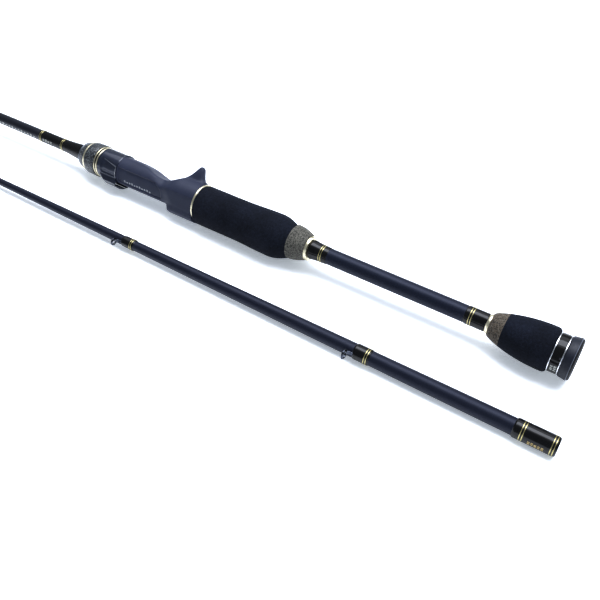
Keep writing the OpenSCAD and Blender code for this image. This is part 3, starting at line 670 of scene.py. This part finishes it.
# ---- Reel seat ----
# Moulded carbon-filled nylon with a soft-touch paint. The finger trigger, the hollow in front of it,
# the sunk side panels and the deck for the reel's foot are one moulding; a threaded barrel carries on
# under the hood and the lock nut.
seat_start, barrel_end = span("reel_seat")[:2]
hood_start, hood_end = span("hood")[:2]
seat_end = hood_start - 0.3
lip_x = seat_start + 26
deck_h = 10.4
seat_half = 11.4
flank_facing = radians(66)
panel_low = radians(37)
panel_high = radians(98)
panel_edge = radians(3.4)
panel_depth = 0.9
thread_r = 8.0
thread_pitch = 2.0
thread_depth = 0.35


def ease(t):
    """A smooth step from 0 to 1."""
    t = min(max(t, 0), 1)
    return t * t * (3 - 2 * t)


def follow(points, x):
    """Smooth curve through (x, value) points, by Catmull and Rom's rule."""
    if x <= points[0][0]:
        return points[0][1]
    for i in range(len(points) - 1):
        if x <= points[i + 1][0]:
            before = points[max(i - 1, 0)]
            left, right = points[i], points[i + 1]
            after = points[min(i + 2, len(points) - 1)]
            t = (x - left[0]) / (right[0] - left[0])
            rise_left = (right[1] - before[1]) / (right[0] - before[0]) * (right[0] - left[0])
            rise_right = (after[1] - left[1]) / (after[0] - left[0]) * (right[0] - left[0])
            return ((2 * t ** 3 - 3 * t ** 2 + 1) * left[1] + (t ** 3 - 2 * t ** 2 + t) * rise_left
                    + (3 * t ** 2 - 2 * t ** 3) * right[1] + (t ** 3 - t ** 2) * rise_right)
    return points[-1][1]


def softly(values, power):
    """The smallest of some radii, with the corners between them rounded."""
    return sum(v ** -power for v in values) ** (-1 / power)


FAR = 400.0


def plane(distance, facing, a):
    """Radius at angle a of a flat face that stands at a distance and faces an angle."""
    lean = cos(a - facing)
    return distance / lean if lean > 0.05 else FAR


def off_reel(a):
    """Angle from the middle of the reel side, 0 to pi."""
    return abs((a + pi) % (2 * pi) - pi)


# height of the trigger side over the axis: palm, finger hollow, trigger tip, and back down behind it
back_line = [(seat_start, 13.2), (seat_start + 3, 13.3), (seat_start + 4.6, 14.8), (seat_start + 6.4, 19.0),
             (seat_start + 7.5, 22.4), (seat_start + 8.7, 23.2), (seat_start + 10.5, 23.1),
             (seat_start + 12.7, 20.3), (seat_start + 15, 16.9), (seat_start + 18, 12.9),
             (seat_start + 21.2, 9.9), (seat_start + 24.8, 7.7), (seat_start + 28.8, 6.2),
             (seat_start + 33, 5.5), (seat_start + 38, 5.9), (seat_start + 43.6, 7.2),
             (seat_start + 49, 9.0), (seat_start + 55, 10.1), (seat_start + 62, 10.5), (seat_end, 10.6)]


def seat_reach(x, a):
    """Radius of the reel seat's body; angle 0 is the middle of the reel side."""
    side = off_reel(a)
    from_back = pi - side
    # front part: palm, flat flanks and deck
    front = softly([seat_half, plane(10.96, flank_facing, side), plane(deck_h, 0, side)], 26)
    # sunk panel on each flank, its rear end drawn to a curve
    panel_rear = lip_x + 3.4 + 6 * (ease((side - radians(55)) / radians(45))) ** 2
    across = min((side - panel_low) / panel_edge, (panel_high - side) / panel_edge)
    along = min((x - panel_rear) / 1.2, (seat_end - 0.2 - x) / 0.8)
    front -= panel_depth * ease(across) * ease(along)
    # rear part: housing over the rear pocket, with a long chamfer down each flank
    housing = 13.25 + 1.95 * ease((radians(44) - side) / radians(16))
    rear = softly([housing, plane(12.0, flank_facing, side) if side < radians(92) else FAR], 40)
    ramp = 5 + 4.6 * ease((side - radians(24)) / radians(22))
    body = front + (rear - front) * ease((lip_x + 1.0 + 5 * ease((side - 0.7) / 0.9) - x) / ramp)
    # waist beside the finger hollow
    body -= 2.1 * ease(1 - abs(x - seat_start - 30) / 13) * ease((side - radians(80)) / radians(40))
    height = follow(back_line, x)
    trimmed = softly([body, height / max(cos(from_back), 0.02)], 14) if from_back < 1.5 else body
    # trigger: a rounded blade that flares into the body
    if from_back < 1.2 and seat_start + 2.5 < x < seat_start + 27:
        half = 3.4 + 1.1 * ease((16 - height) / 6)
        blade = ((sin(from_back) / half) ** 3 + (cos(from_back) / height) ** 3) ** (-1 / 3)
        trimmed = (trimmed ** 9 + blade ** 9) ** (1 / 9) if height > 9 else trimmed
    return max(trimmed, 5.2)


# angles are closer together on the trigger side, where the shape turns faster
seat_angles = [t + 0.45 * sin(t) for t in (2 * pi * i / 320 for i in range(320))]
seat_stations = [seat_start + (seat_end - seat_start) * i / 170 for i in range(171)]
seat = skin("reel seat", seat_stations, seat_angles, seat_reach, reel_side)
ease_edges(seat, 0.3)


def block(name, corners, place):
    """A box between two corners in mm, used to cut a pocket."""
    (x0, y0, z0), (x1, y1, z1) = corners
    spots = [place @ (Vector((x, y, z)) * MM) for x in (x0, x1) for y in (y0, y1) for z in (z0, z1)]
    faces = [(0, 1, 3, 2), (4, 6, 7, 5), (0, 4, 5, 1), (2, 3, 7, 6), (0, 2, 6, 4), (1, 5, 7, 3)]
    mesh = bpy.data.meshes.new(name)
    mesh.from_pydata(spots, [], faces)
    made = bpy.data.objects.new(name, mesh)
    bpy.context.scene.collection.objects.link(made)
    return made


def carve_out(made, tool):
    """Cuts a solid out of a piece for good, so that no helper is left in the scene."""
    carve = made.modifiers.new("carve", "BOOLEAN")
    carve.operation = "DIFFERENCE"
    carve.solver = "EXACT"
    carve.object = tool
    bpy.context.view_layer.update()
    shaped = bpy.data.meshes.new_from_object(made.evaluated_get(bpy.context.evaluated_depsgraph_get()))
    made.modifiers.clear()
    made.data = shaped
    shaped.set_sharp_from_angle(angle=CRISP)
    bpy.data.objects.remove(tool)


pocket_half = 6.9
pocket_floor = deck_h - 0.2
rear_pocket = ((lip_x - 12, pocket_floor, -pocket_half), (lip_x + 8, deck_h + 2.7, pocket_half))
carve_out(seat, block("rear pocket", rear_pocket, reel_side))


def soft_touch(name, dark, light):
    """Soft-touch paint on moulded nylon: a dusty satin film with a grain finer than skin can feel."""
    made = start(name)
    where = add(made, "TexCoord")
    cloud = add(made, "TexNoise", {"Vector": (where, "Object"), "Scale": 120.0, "Detail": 4.0})
    # paint grain of 0.05 mm is drawn at 0.15 mm, so that it shows
    grain = add(made, "TexNoise", {"Vector": (where, "Object"), "Scale": 6500.0, "Detail": 2.0})
    tones = add(made, "Mix", {0: (cloud, "Fac"), 6: tone(dark), 7: tone(light)}, data_type="RGBA")
    bump = add(made, "Bump", {"Height": (grain, "Fac"), "Strength": 0.3, "Distance": 0.00005})
    spread = add(made, "MapRange", {"Value": (cloud, "Fac"), "To Min": 0.44, "To Max": 0.56})
    shader = add(made, "BsdfPrincipled", {
        "Base Color": (tones, 2), "Roughness": (spread, "Result"), "Normal": (bump, "Normal"),
        "Specular IOR Level": 0.3})
    add(made, "OutputMaterial", {"Surface": (shader, "BSDF")})
    return made


seat_paint = soft_touch("soft-touch paint", "#2f3343", "#3a3f51")
fit(seat, seat_paint, "butt_section", "seat", "reel_seat")

# the barrel's thread is a helix of rounded teeth with a flat towards the reel that keys the hood
barrel_x = seat_end - 0.5
barrel_angles = [2 * pi * i / 96 for i in range(96)]


def barrel_reach(x, a):
    """Radius of the barrel, plain under the hood and threaded in front of it."""
    wave = cos(2 * pi * (x / thread_pitch - a / (2 * pi)))
    crest = thread_r - thread_depth * ease((x - hood_end + 1.5) / 1.5) * (1 - ease(wave + 0.9))
    return min(crest, plane(7.0, 0, off_reel(a)))


barrel_count = ceil((barrel_end - barrel_x) / 0.2)
barrel_stations = [barrel_x + (barrel_end - barrel_x) * i / barrel_count for i in range(barrel_count + 1)]
barrel = skin("threaded barrel", barrel_stations, barrel_angles, barrel_reach, reel_side)
fit(barrel, black_nylon, "butt_section", "seat", "reel_seat")

# a row of plain bars stands where a maker would print a name on the sunk panel
pad_ink = moulded("grey pad-print ink", "#85898f", "#a9acb2", 0.45, 0.1)
marks_round("panel mark", lip_x + 14, seat_end - 6, seat_reach, (43, 53.5), 1, 11, 0.6, pad_ink,
            "butt_section", "seat", reel_side)

# ---- Sliding hood ----
# Glossy moulded shell that the lock nut pushes back over the front of the reel's foot. A V-shaped
# step on each flank runs to its rear edge.
hood_radius = 11.5
roof_rise = 2.9
step_depth = 0.75


def hood_reach(x, a):
    """Radius of the hood: a round shell, a roof over the reel's foot, and the step on each flank."""
    side = off_reel(a)
    along = (x - hood_start) / (hood_end - hood_start)
    roof = hood_radius + roof_rise - roof_rise * ease((along - 0.55) / 0.4)
    cheeks = min(roof, 8.5 / max(sin(side), 0.05))
    shell = max(hood_radius, cheeks) if side < 1.3 else hood_radius
    ridge = radians(97) + radians(20) * max(along - 0.12, 0)
    step = ease((ridge - side) / radians(5)) * ease((side - radians(50)) / radians(8)) * ease(along / 0.1)
    shell -= step_depth * step * (1 - ease((along - 0.72) / 0.12))
    rounded = min(1, (x - hood_start + 0.05) / 0.6, (hood_end - x + 0.05) / 0.5)
    return shell - 0.45 * (1 - rounded) ** 2


hood_stations = [hood_start + (hood_end - hood_start) * i / 60 for i in range(61)]
hood_angles = [2 * pi * i / 180 for i in range(180)]
hood = skin("hood", hood_stations, hood_angles, hood_reach, reel_side)
# the bore clears the barrel by 0.1 mm, and its flat by 0.3 mm
hood_bore = skin("hood bore", [hood_start - 1, hood_end + 1], hood_angles,
                 lambda x, a: min(8.1, plane(7.3, 0, off_reel(a))), reel_side)
carve_out(hood, hood_bore)
front_pocket = ((hood_start - 2, pocket_floor, -pocket_half), (hood_start + 12, deck_h + 2.4, pocket_half))
carve_out(hood, block("front pocket", front_pocket, reel_side))


def lacquer(name, dark, light, gloss):
    """Moulded nylon under clear lacquer: deep colour, wet highlights, a trace of orange peel."""
    made = start(name)
    where = add(made, "TexCoord")
    cloud = add(made, "TexNoise", {"Vector": (where, "Object"), "Scale": 260.0, "Detail": 3.0})
    peel = add(made, "TexNoise", {"Vector": (where, "Object"), "Scale": 700.0, "Detail": 1.0})
    tones = add(made, "Mix", {0: (cloud, "Fac"), 6: tone(dark), 7: tone(light)}, data_type="RGBA")
    wave = add(made, "Bump", {"Height": (peel, "Fac"), "Strength": 0.06, "Distance": 0.0001})
    shader = add(made, "BsdfPrincipled", {
        "Base Color": (tones, 2), "Roughness": 0.4, "Specular Tint": tone("#c9d3f5"),
        "Coat Weight": gloss, "Coat Roughness": 0.05, "Coat Normal": (wave, "Normal")})
    add(made, "OutputMaterial", {"Surface": (shader, "BSDF")})
    return made


hood_lacquer = lacquer("lacquered nylon", "#12151f", "#212737", 0.9)
fit(hood, hood_lacquer, "hood", "hood", "hood")

# ---- Lock nut ----
# A threaded aluminium sleeve with a pressed-fibre grip between gold rings. It turns on the barrel and
# carries the hood along by 2 mm a turn.
nut = "lock_nut"
sleeve_start, sleeve_end, sleeve_r = span("nut_sleeve")
nut_bore = 8.05
sleeve = turned("nut sleeve", band_outline(sleeve_start, sleeve_end, nut_bore, sleeve_r))
fit(sleeve, silver, nut, "silver", "nut_sleeve")

rear_start, rear_end, rear_ring_r = span("nut_rear_rings")
rear_ring_w = 1.2
for x0, x1 in ((rear_start, rear_start + rear_ring_w), (rear_end - rear_ring_w, rear_end)):
    rear_ring = turned("nut rear ring", band_outline(x0, x1, sleeve_r, rear_ring_r))
    fit(rear_ring, pale_gold, nut, "gold", "nut_rear_rings")
spacer = turned("nut rear groove", [(rear_start + 1, sleeve_r), (rear_start + 1, rear_ring_r - 0.35),
                                    (rear_end - 1, rear_ring_r - 0.35), (rear_end - 1, sleeve_r)])
fit(spacer, black_gloss, nut, "gold", "nut_rear_rings")


def pressed_fibre(name, dark, mid, pale):
    """Chopped carbon and cork pressed with resin and polished: a marbled dark grip with pale chips."""
    made = start(name)
    where = add(made, "TexCoord")
    warp = add(made, "TexNoise", {"Vector": (where, "Object"), "Scale": 500.0, "Detail": 2.0})
    moved = add(made, "Mix", {0: 0.0012, 4: (where, "Object"), 5: (warp, "Color")}, data_type="VECTOR")
    # chips run from 0.5 to 1 mm
    chips = add(made, "TexVoronoi", {"Vector": (moved, 1), "Scale": 1500.0})
    tint = add(made, "SeparateColor", {"Color": (chips, "Color")})
    ramp = add(made, "ValToRGB", {"Fac": (tint, "Red")})
    ramp.color_ramp.elements[0].color = tone(dark)
    ramp.color_ramp.elements[1].color = tone(pale)
    ramp.color_ramp.elements[1].position = 0.96
    ramp.color_ramp.elements.new(0.55).color = tone(mid)
    speck = add(made, "TexNoise", {"Vector": (where, "Object"), "Scale": 4200.0, "Detail": 3.0})
    shade = add(made, "MapRange", {"Value": (speck, "Fac"), "From Min": 0.3, "From Max": 0.7,
                                   "To Min": 0.55, "To Max": 1.4})
    tinted = add(made, "HueSaturation", {"Color": (ramp, "Color"), "Value": (shade, "Result")})
    bump = add(made, "Bump", {"Height": (speck, "Fac"), "Strength": 0.35, "Distance": 0.00008})
    shader = add(made, "BsdfPrincipled", {
        "Base Color": (tinted, "Color"), "Roughness": 0.42, "Normal": (bump, "Normal"),
        "Coat Weight": 0.2, "Coat Roughness": 0.15})
    add(made, "OutputMaterial", {"Surface": (shader, "BSDF")})
    return made


marbled = pressed_fibre("pressed fibre", "#121416", "#33363a", "#6d7375")
nut_grip_start, nut_grip_end, nut_grip_r = span("nut_grip")
nut_grip_outline = band_outline(nut_grip_start, nut_grip_end, sleeve_r, nut_grip_r, 0.4)
nut_grip = turned("nut grip", nut_grip_outline, round_count=144)
fit(nut_grip, marbled, nut, "nut", "nut_grip")
front_start, front_end, front_r = span("nut_front_ring")
front_ring = turned("nut front ring", band_outline(front_start, front_end, sleeve_r, front_r))
fit(front_ring, pale_gold, nut, "gold", "nut_front_ring")
cone_start, cone_end, cone_r = span("nut_cone")
cone_outline = [(cone_start, sleeve_r), (cone_start, cone_r)]
for i in range(1, 9):
    t = i / 8
    cone_outline.append((cone_start + (cone_end - cone_start) * t,
                         cone_r + (sleeve_r + 0.5 - cone_r) * t ** 1.5))
nut_cone = turned("nut cone", cone_outline + [(cone_end, sleeve_r)])
fit(nut_cone, marbled, nut, "nut", "nut_cone")
end_start, end_end, end_r = span("nut_end_ring")
grey_metal = turned_metal("grey anodised aluminium", "#70757e", "#989da6", 0.3, 0.2)
end_ring = turned("nut end ring", band_outline(end_start, end_end, nut_bore, end_r))
fit(end_ring, grey_metal, nut, "silver", "nut_end_ring")

# ---- Fore cone, and the trim on the blank in front of it ----
# A varnished thread wrap built up into a flare fills the step from the barrel down to the blank, and
# runs on as a thin wrap ringed with gold. Plain printed bars stand in place of a maker's wording.
flare_start, flare_end, flare_r = span("fore_cone")
flare_tip_r = butt_blank_r(flare_end) + 0.3


def flare_face(x):
    """Radius of the flare at x, hollow towards its slim end."""
    left = 1 - min((x - flare_start) / (flare_end - flare_start), 1)
    return flare_tip_r + (flare_r - flare_tip_r) * left ** 1.8


flare_outline = [(flare_start, butt_blank_r(flare_start) - 0.2)]
for i in range(17):
    x = flare_start + (flare_end - flare_start) * i / 16
    flare_outline.append((x, flare_face(x)))
flare = turned("fore cone", flare_outline + [(flare_end, butt_blank_r(flare_end) - 0.2)])
fit(flare, black_gloss, "butt_section", "wrap", "fore_cone")
fore_wrap_end = flare_end + 22
fore_wrap_t = 0.3
fore_wrap = turned("fore wrap", wrap_outline(flare_end - 1, fore_wrap_end, butt_blank_r, fore_wrap_t))
fit(fore_wrap, black_gloss, "butt_section", "wrap")
thread_pair("fore thread band", flare_end - 4.5, flare_face, "butt_section", "blank_thread_bands")
thread_pair("fore thread band", fore_wrap_end - 2.4, lambda x: butt_blank_r(x) + fore_wrap_t - 0.02,
            "butt_section", "blank_thread_bands")
thread_pair("ferrule thread band", ferrule_x - 3.8, butt_blank_r, "butt_section", "blank_thread_bands")
marks_round("blank mark", flare_end + 6, flare_end + 17, lambda x, a: butt_blank_r(x) + fore_wrap_t, (-4, 22),
            2, 4, 0.75, silver_ink, "butt_section", "blank")
marks_round("blank ticks", fore_wrap_end + 4, fore_wrap_end + 52, lambda x, a: butt_blank_r(x), (-12, 14),
            1, 13, 0.55, silver_ink, "butt_section", "blank")

# ---- Line guides ----
# Each guide is a stamped and plated steel frame whose foot is bound to the blank with thread and
# epoxy. A polished and plated ring is pressed into its rolled rim to carry the line.
RIM = 0.45


def plated(name, dark, light, rough):
    """Dark plated steel, tumbled: a smooth mirror with a slightly uneven edge to its highlights."""
    made = start(name)
    where = add(made, "TexCoord")
    cloud = add(made, "TexNoise", {"Vector": (where, "Object"), "Scale": 1400.0, "Detail": 2.0})
    tones = add(made, "Mix", {0: (cloud, "Fac"), 6: tone(dark), 7: tone(light)}, data_type="RGBA")
    spread = add(made, "MapRange", {"Value": (cloud, "Fac"), "To Min": rough - 0.05, "To Max": rough + 0.08})
    bump = add(made, "Bump", {"Height": (cloud, "Fac"), "Strength": 0.08, "Distance": 0.00004})
    shader = add(made, "BsdfPrincipled", {"Base Color": (tones, 2), "Metallic": 1.0,
                                          "Roughness": (spread, "Result"), "Normal": (bump, "Normal")})
    add(made, "OutputMaterial", {"Surface": (shader, "BSDF")})
    return made


dark_plate = plated("dark plated steel", "#43464e", "#5d616b", 0.24)
ring_polish = plated("polished ring", "#4d5057", "#767a82", 0.14)


def guide_ring(name, x, height, outer, body, node, place):
    """The pressed-in ring: a rounded throat between two bevelled faces."""
    inner = outer - max(0.75, outer * 0.22)
    outline = []
    for i in range(13):
        a = pi * i / 12
        outline.append((-0.8 * cos(a) + x, (inner + 0.35) - 0.35 * sin(a)))
    outline += [(x + 0.55, outer), (x - 0.55, outer)]
    piece = turned(name, outline, place @ Matrix.Translation((0, height * MM, 0)), 64)
    return fit(piece, ring_polish, body, "insert", node)


def ribbon(name, path, widths, thick, place):
    """A strip of sheet metal along a path of (x, height) points, its long edges rounded."""
    spots = []
    around = 12
    for i, (x, h) in enumerate(path):
        a = path[max(i - 1, 0)]
        b = path[min(i + 1, len(path) - 1)]
        length = hypot(b[0] - a[0], b[1] - a[1])
        normal = (-(b[1] - a[1]) / length, (b[0] - a[0]) / length)
        for j in range(around):
            t = 2 * pi * (j + 0.5) / around
            across = widths[i] / 2 * max(-1, min(1, cos(t) * 1.25))
            off = thick / 2 * max(-1, min(1, sin(t) * 1.25))
            spots.append(place @ (Vector((x + normal[0] * off, h + normal[1] * off, across)) * MM))
    faces = []
    for i in range(len(path) - 1):
        for j in range(around):
            k = (j + 1) % around
            faces.append((i * around + j, i * around + k, (i + 1) * around + k, (i + 1) * around + j))
    faces.append(tuple(reversed(range(around))))
    faces.append(tuple(range((len(path) - 1) * around, len(path) * around)))
    mesh = bpy.data.meshes.new(name)
    mesh.from_pydata(spots, [], faces)
    mesh.uv_layers.new(name="skin")
    return finish_mesh(name, mesh)


def guide_rim(name, x, height, outer, body, node, place):
    """The frame's rolled rim, which holds the ring."""
    outline = []
    for i in range(16):
        a = 2 * pi * i / 16
        outline.append((x + 0.4 * cos(a), outer + RIM / 2 - 0.02 + RIM / 2 * sin(a)))
    piece = turned(name, outline, place @ Matrix.Translation((0, height * MM, 0)), 64)
    return fit(piece, dark_plate, body, "guide", node)


def guide(label, x, height, outer, base, feet, body, frame_node, ring_node, wrap_node, band_node, place):
    """One guide: ring, rim, a leg and foot on each side named in feet, and the wraps over the feet."""
    guide_ring(label + " ring", x, height, outer, body, ring_node, place)
    guide_rim(label + " rim", x, height, outer, body, frame_node, place)
    leg_top = height - outer - RIM / 2
    lean = max(2, (height - 0.8 * (outer + RIM) - base(x)) * 0.6)
    for side in feet:
        path = []
        heel_x = x + side * (lean + 0.4)
        foot_end = x + side * (lean + 8)
        heel_h = base(heel_x) + 0.3
        for i in range(9):
            t = i / 8
            bend = (1 - t) ** 2.4
            path.append((x + side * (lean + 0.4) * t, heel_h + (leg_top - heel_h) * bend))
        for i in range(1, 7):
            t = i / 6
            foot_x = heel_x + (foot_end - heel_x) * t
            path.append((foot_x, base(foot_x) + 0.3 - 0.1 * t))
        widths = [2.2 - 0.5 * i / (len(path) - 1) for i in range(len(path))]
        leg = ribbon(label + " leg", path, widths, 0.5, place)
        fit(leg, dark_plate, body, "guide", frame_node)
        near = x + side * (lean + 0.8)
        far = x + side * (lean + 11.5)
        low, high = min(near, far), max(near, far)

        def wrap_reach(s, a):
            """Radius of the wrap, thicker where it passes over the foot."""
            ends = min((s - low) / 1.6, (high - s) / 1.6, 1)
            coat = 0.75 * (1 - (1 - max(ends, 0)) ** 2.5)
            over_foot = max(0, 1 - (off_reel(a) * base(s) / 1.5) ** 2)
            past_foot = ease(side * (foot_end - s) + 0.2)
            return base(s) - 0.02 + coat * (0.62 + 0.38 * over_foot * past_foot)

        stations = [low + (high - low) * i / 36 for i in range(37)]
        wrap = skin(label + " wrap", stations, [2 * pi * i / 72 for i in range(72)], wrap_reach, place)
        fit(wrap, black_gloss, body, "wrap", wrap_node)
        # the gold bands lie beyond the end of the foot, where the wrap is low
        thread_pair(label + " thread band", far - side * 2.2, lambda s: base(s) + 0.47, body, band_node,
                    place)


def ring_of(node, place):
    """X, height over the blank's axis, and outer radius of a guide's ring, in mm."""
    low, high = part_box(node)
    middle = place.inverted() @ ((low + high) / 2)
    return middle.x / MM, middle.y / MM, (high.z - low.z) / 2 / MM


x, height, outer = ring_of("stripper_ring", reel_side)
guide("stripper", x, height, outer, butt_blank_r, (-1, 1), "butt_section", "stripper_frame", "stripper_ring",
      "stripper_wraps", "blank_thread_bands", reel_side)
x, height, outer = ring_of("second_ring", reel_side)
guide("second guide", x, height, outer, butt_blank_r, (-1,), "butt_section", "second_frame", "second_ring",
      "second_wrap", "blank_thread_bands", reel_side)

# ---- Tip section's blank ----
# The slim half of the rod: one tapered carbon tube, with a socket in its thick end that slides over
# the butt section's ferrule.
tip_low, tip_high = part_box("tip_blank")
mouth_x = tip_low.x / MM
mouth_r = (tip_high.z - tip_low.z) / 2 / MM
tip_length = tip_high.x / MM - mouth_x
tip_middle = (tip_low + tip_high) / 2
tip_place = Matrix.Translation((tip_low.x, tip_middle.y, tip_middle.z)) @ Matrix.Rotation(radians(20), 4, "X")
socket = mounts["ferrule_socket"]
taper = [(0, mouth_r), (70, mouth_r - 0.25), (tip_length * 0.16, 4.25), (tip_length * 0.32, 3.25),
         (tip_length * 0.43, 2.55), (tip_length * 0.62, 1.9), (tip_length * 0.82, 1.4), (tip_length, 1.0)]


def tip_r(u):
    """Radius of the tip section's blank at u mm from its open end."""
    for (a, ra), (b, rb) in zip(taper, taper[1:]):
        if u <= b:
            return ra + (rb - ra) * max(u - a, 0) / (b - a)
    return taper[-1][1]


tip_outline = [(0, socket["r_mm"] + 0.3), (0.3, socket["r_mm"])]
tip_outline += [(socket["length_mm"], socket["r_mm"]), (socket["length_mm"], 0.0)]
tip_outline += [(tip_length, 0.0)] + [(u, r) for u, r in reversed(taper)]
tip = turned("tip blank", tip_outline, tip_place)
tip_carbon = carbon("tip carbon", "#131620", "#232736", 0.0, 0.46, 1.2566)
fit(tip, tip_carbon, "tip_section", "blank", "tip_blank")

# ---- Ferrule wrap ----
# A long varnished wrap keeps the socket from splitting. Gold thread rings it near both ends, and
# plain printed bars stand in place of a maker's wording.
ferrule_wrap_start, ferrule_wrap_end, ferrule_wrap_r = span("ferrule_wrap")
ferrule_wrap_length = ferrule_wrap_end - ferrule_wrap_start
wrap_height = ferrule_wrap_r - mouth_r
ferrule = turned("ferrule wrap", wrap_outline(0, ferrule_wrap_length, tip_r, wrap_height), tip_place)
fit(ferrule, black_gloss, "tip_section", "wrap", "ferrule_wrap")
for centre in (2.2, 18.4):
    thread_pair("ferrule thread band", centre, lambda u: tip_r(u) + wrap_height, "tip_section",
                "ferrule_thread_bands", tip_place)
gold_ink = moulded("gold pad-print ink", "#9a8551", "#c3ad73", 0.4, 0.1)
marks_round("ferrule mark", 6.0, 15.0, lambda u, a: tip_r(u) + wrap_height, (-36, -10), 3, 5, 0.72, gold_ink,
            "tip_section", "wrap", tip_place)

# ---- Guides of the tip section ----
# Small single-foot guides, closer together towards the tip, where the rod bends most.
for number in range(1, 7):
    x, height, outer = ring_of(f"ring_{number}", tip_place)
    guide(f"guide {number}", x, height, outer, tip_r, (-1,), "tip_section", f"frame_{number}",
          f"ring_{number}", f"wrap_{number}", "guide_thread_bands", tip_place)

# ---- Tip-top ----
# A drawn tube glued over the end of the blank, with a ring frame brazed to it.
x, height, outer = ring_of("tip_top_ring", tip_place)
guide_ring("tip-top ring", x, height, outer, "tip_section", "tip_top_ring", tip_place)
guide_rim("tip-top rim", x, height, outer, "tip_section", "tip_top_frame", tip_place)
top_start = tip_length - 10
top_r = tip_r(top_start) + 0.47
top_outline = [(top_start, top_r - 0.4), (top_start, top_r - 0.12), (top_start + 0.3, top_r),
               (tip_length + 0.6, top_r), (tip_length + 1.4, top_r - 0.25), (x + 0.3, 0.9), (x + 0.4, 0.5),
               (x + 0.4, 0.0), (tip_length, 0.0), (tip_length, top_r - 0.4)]
top_tube = turned("tip-top tube", top_outline, tip_place, 48)
fit(top_tube, dark_plate, "tip_section", "guide", "tip_top_frame")
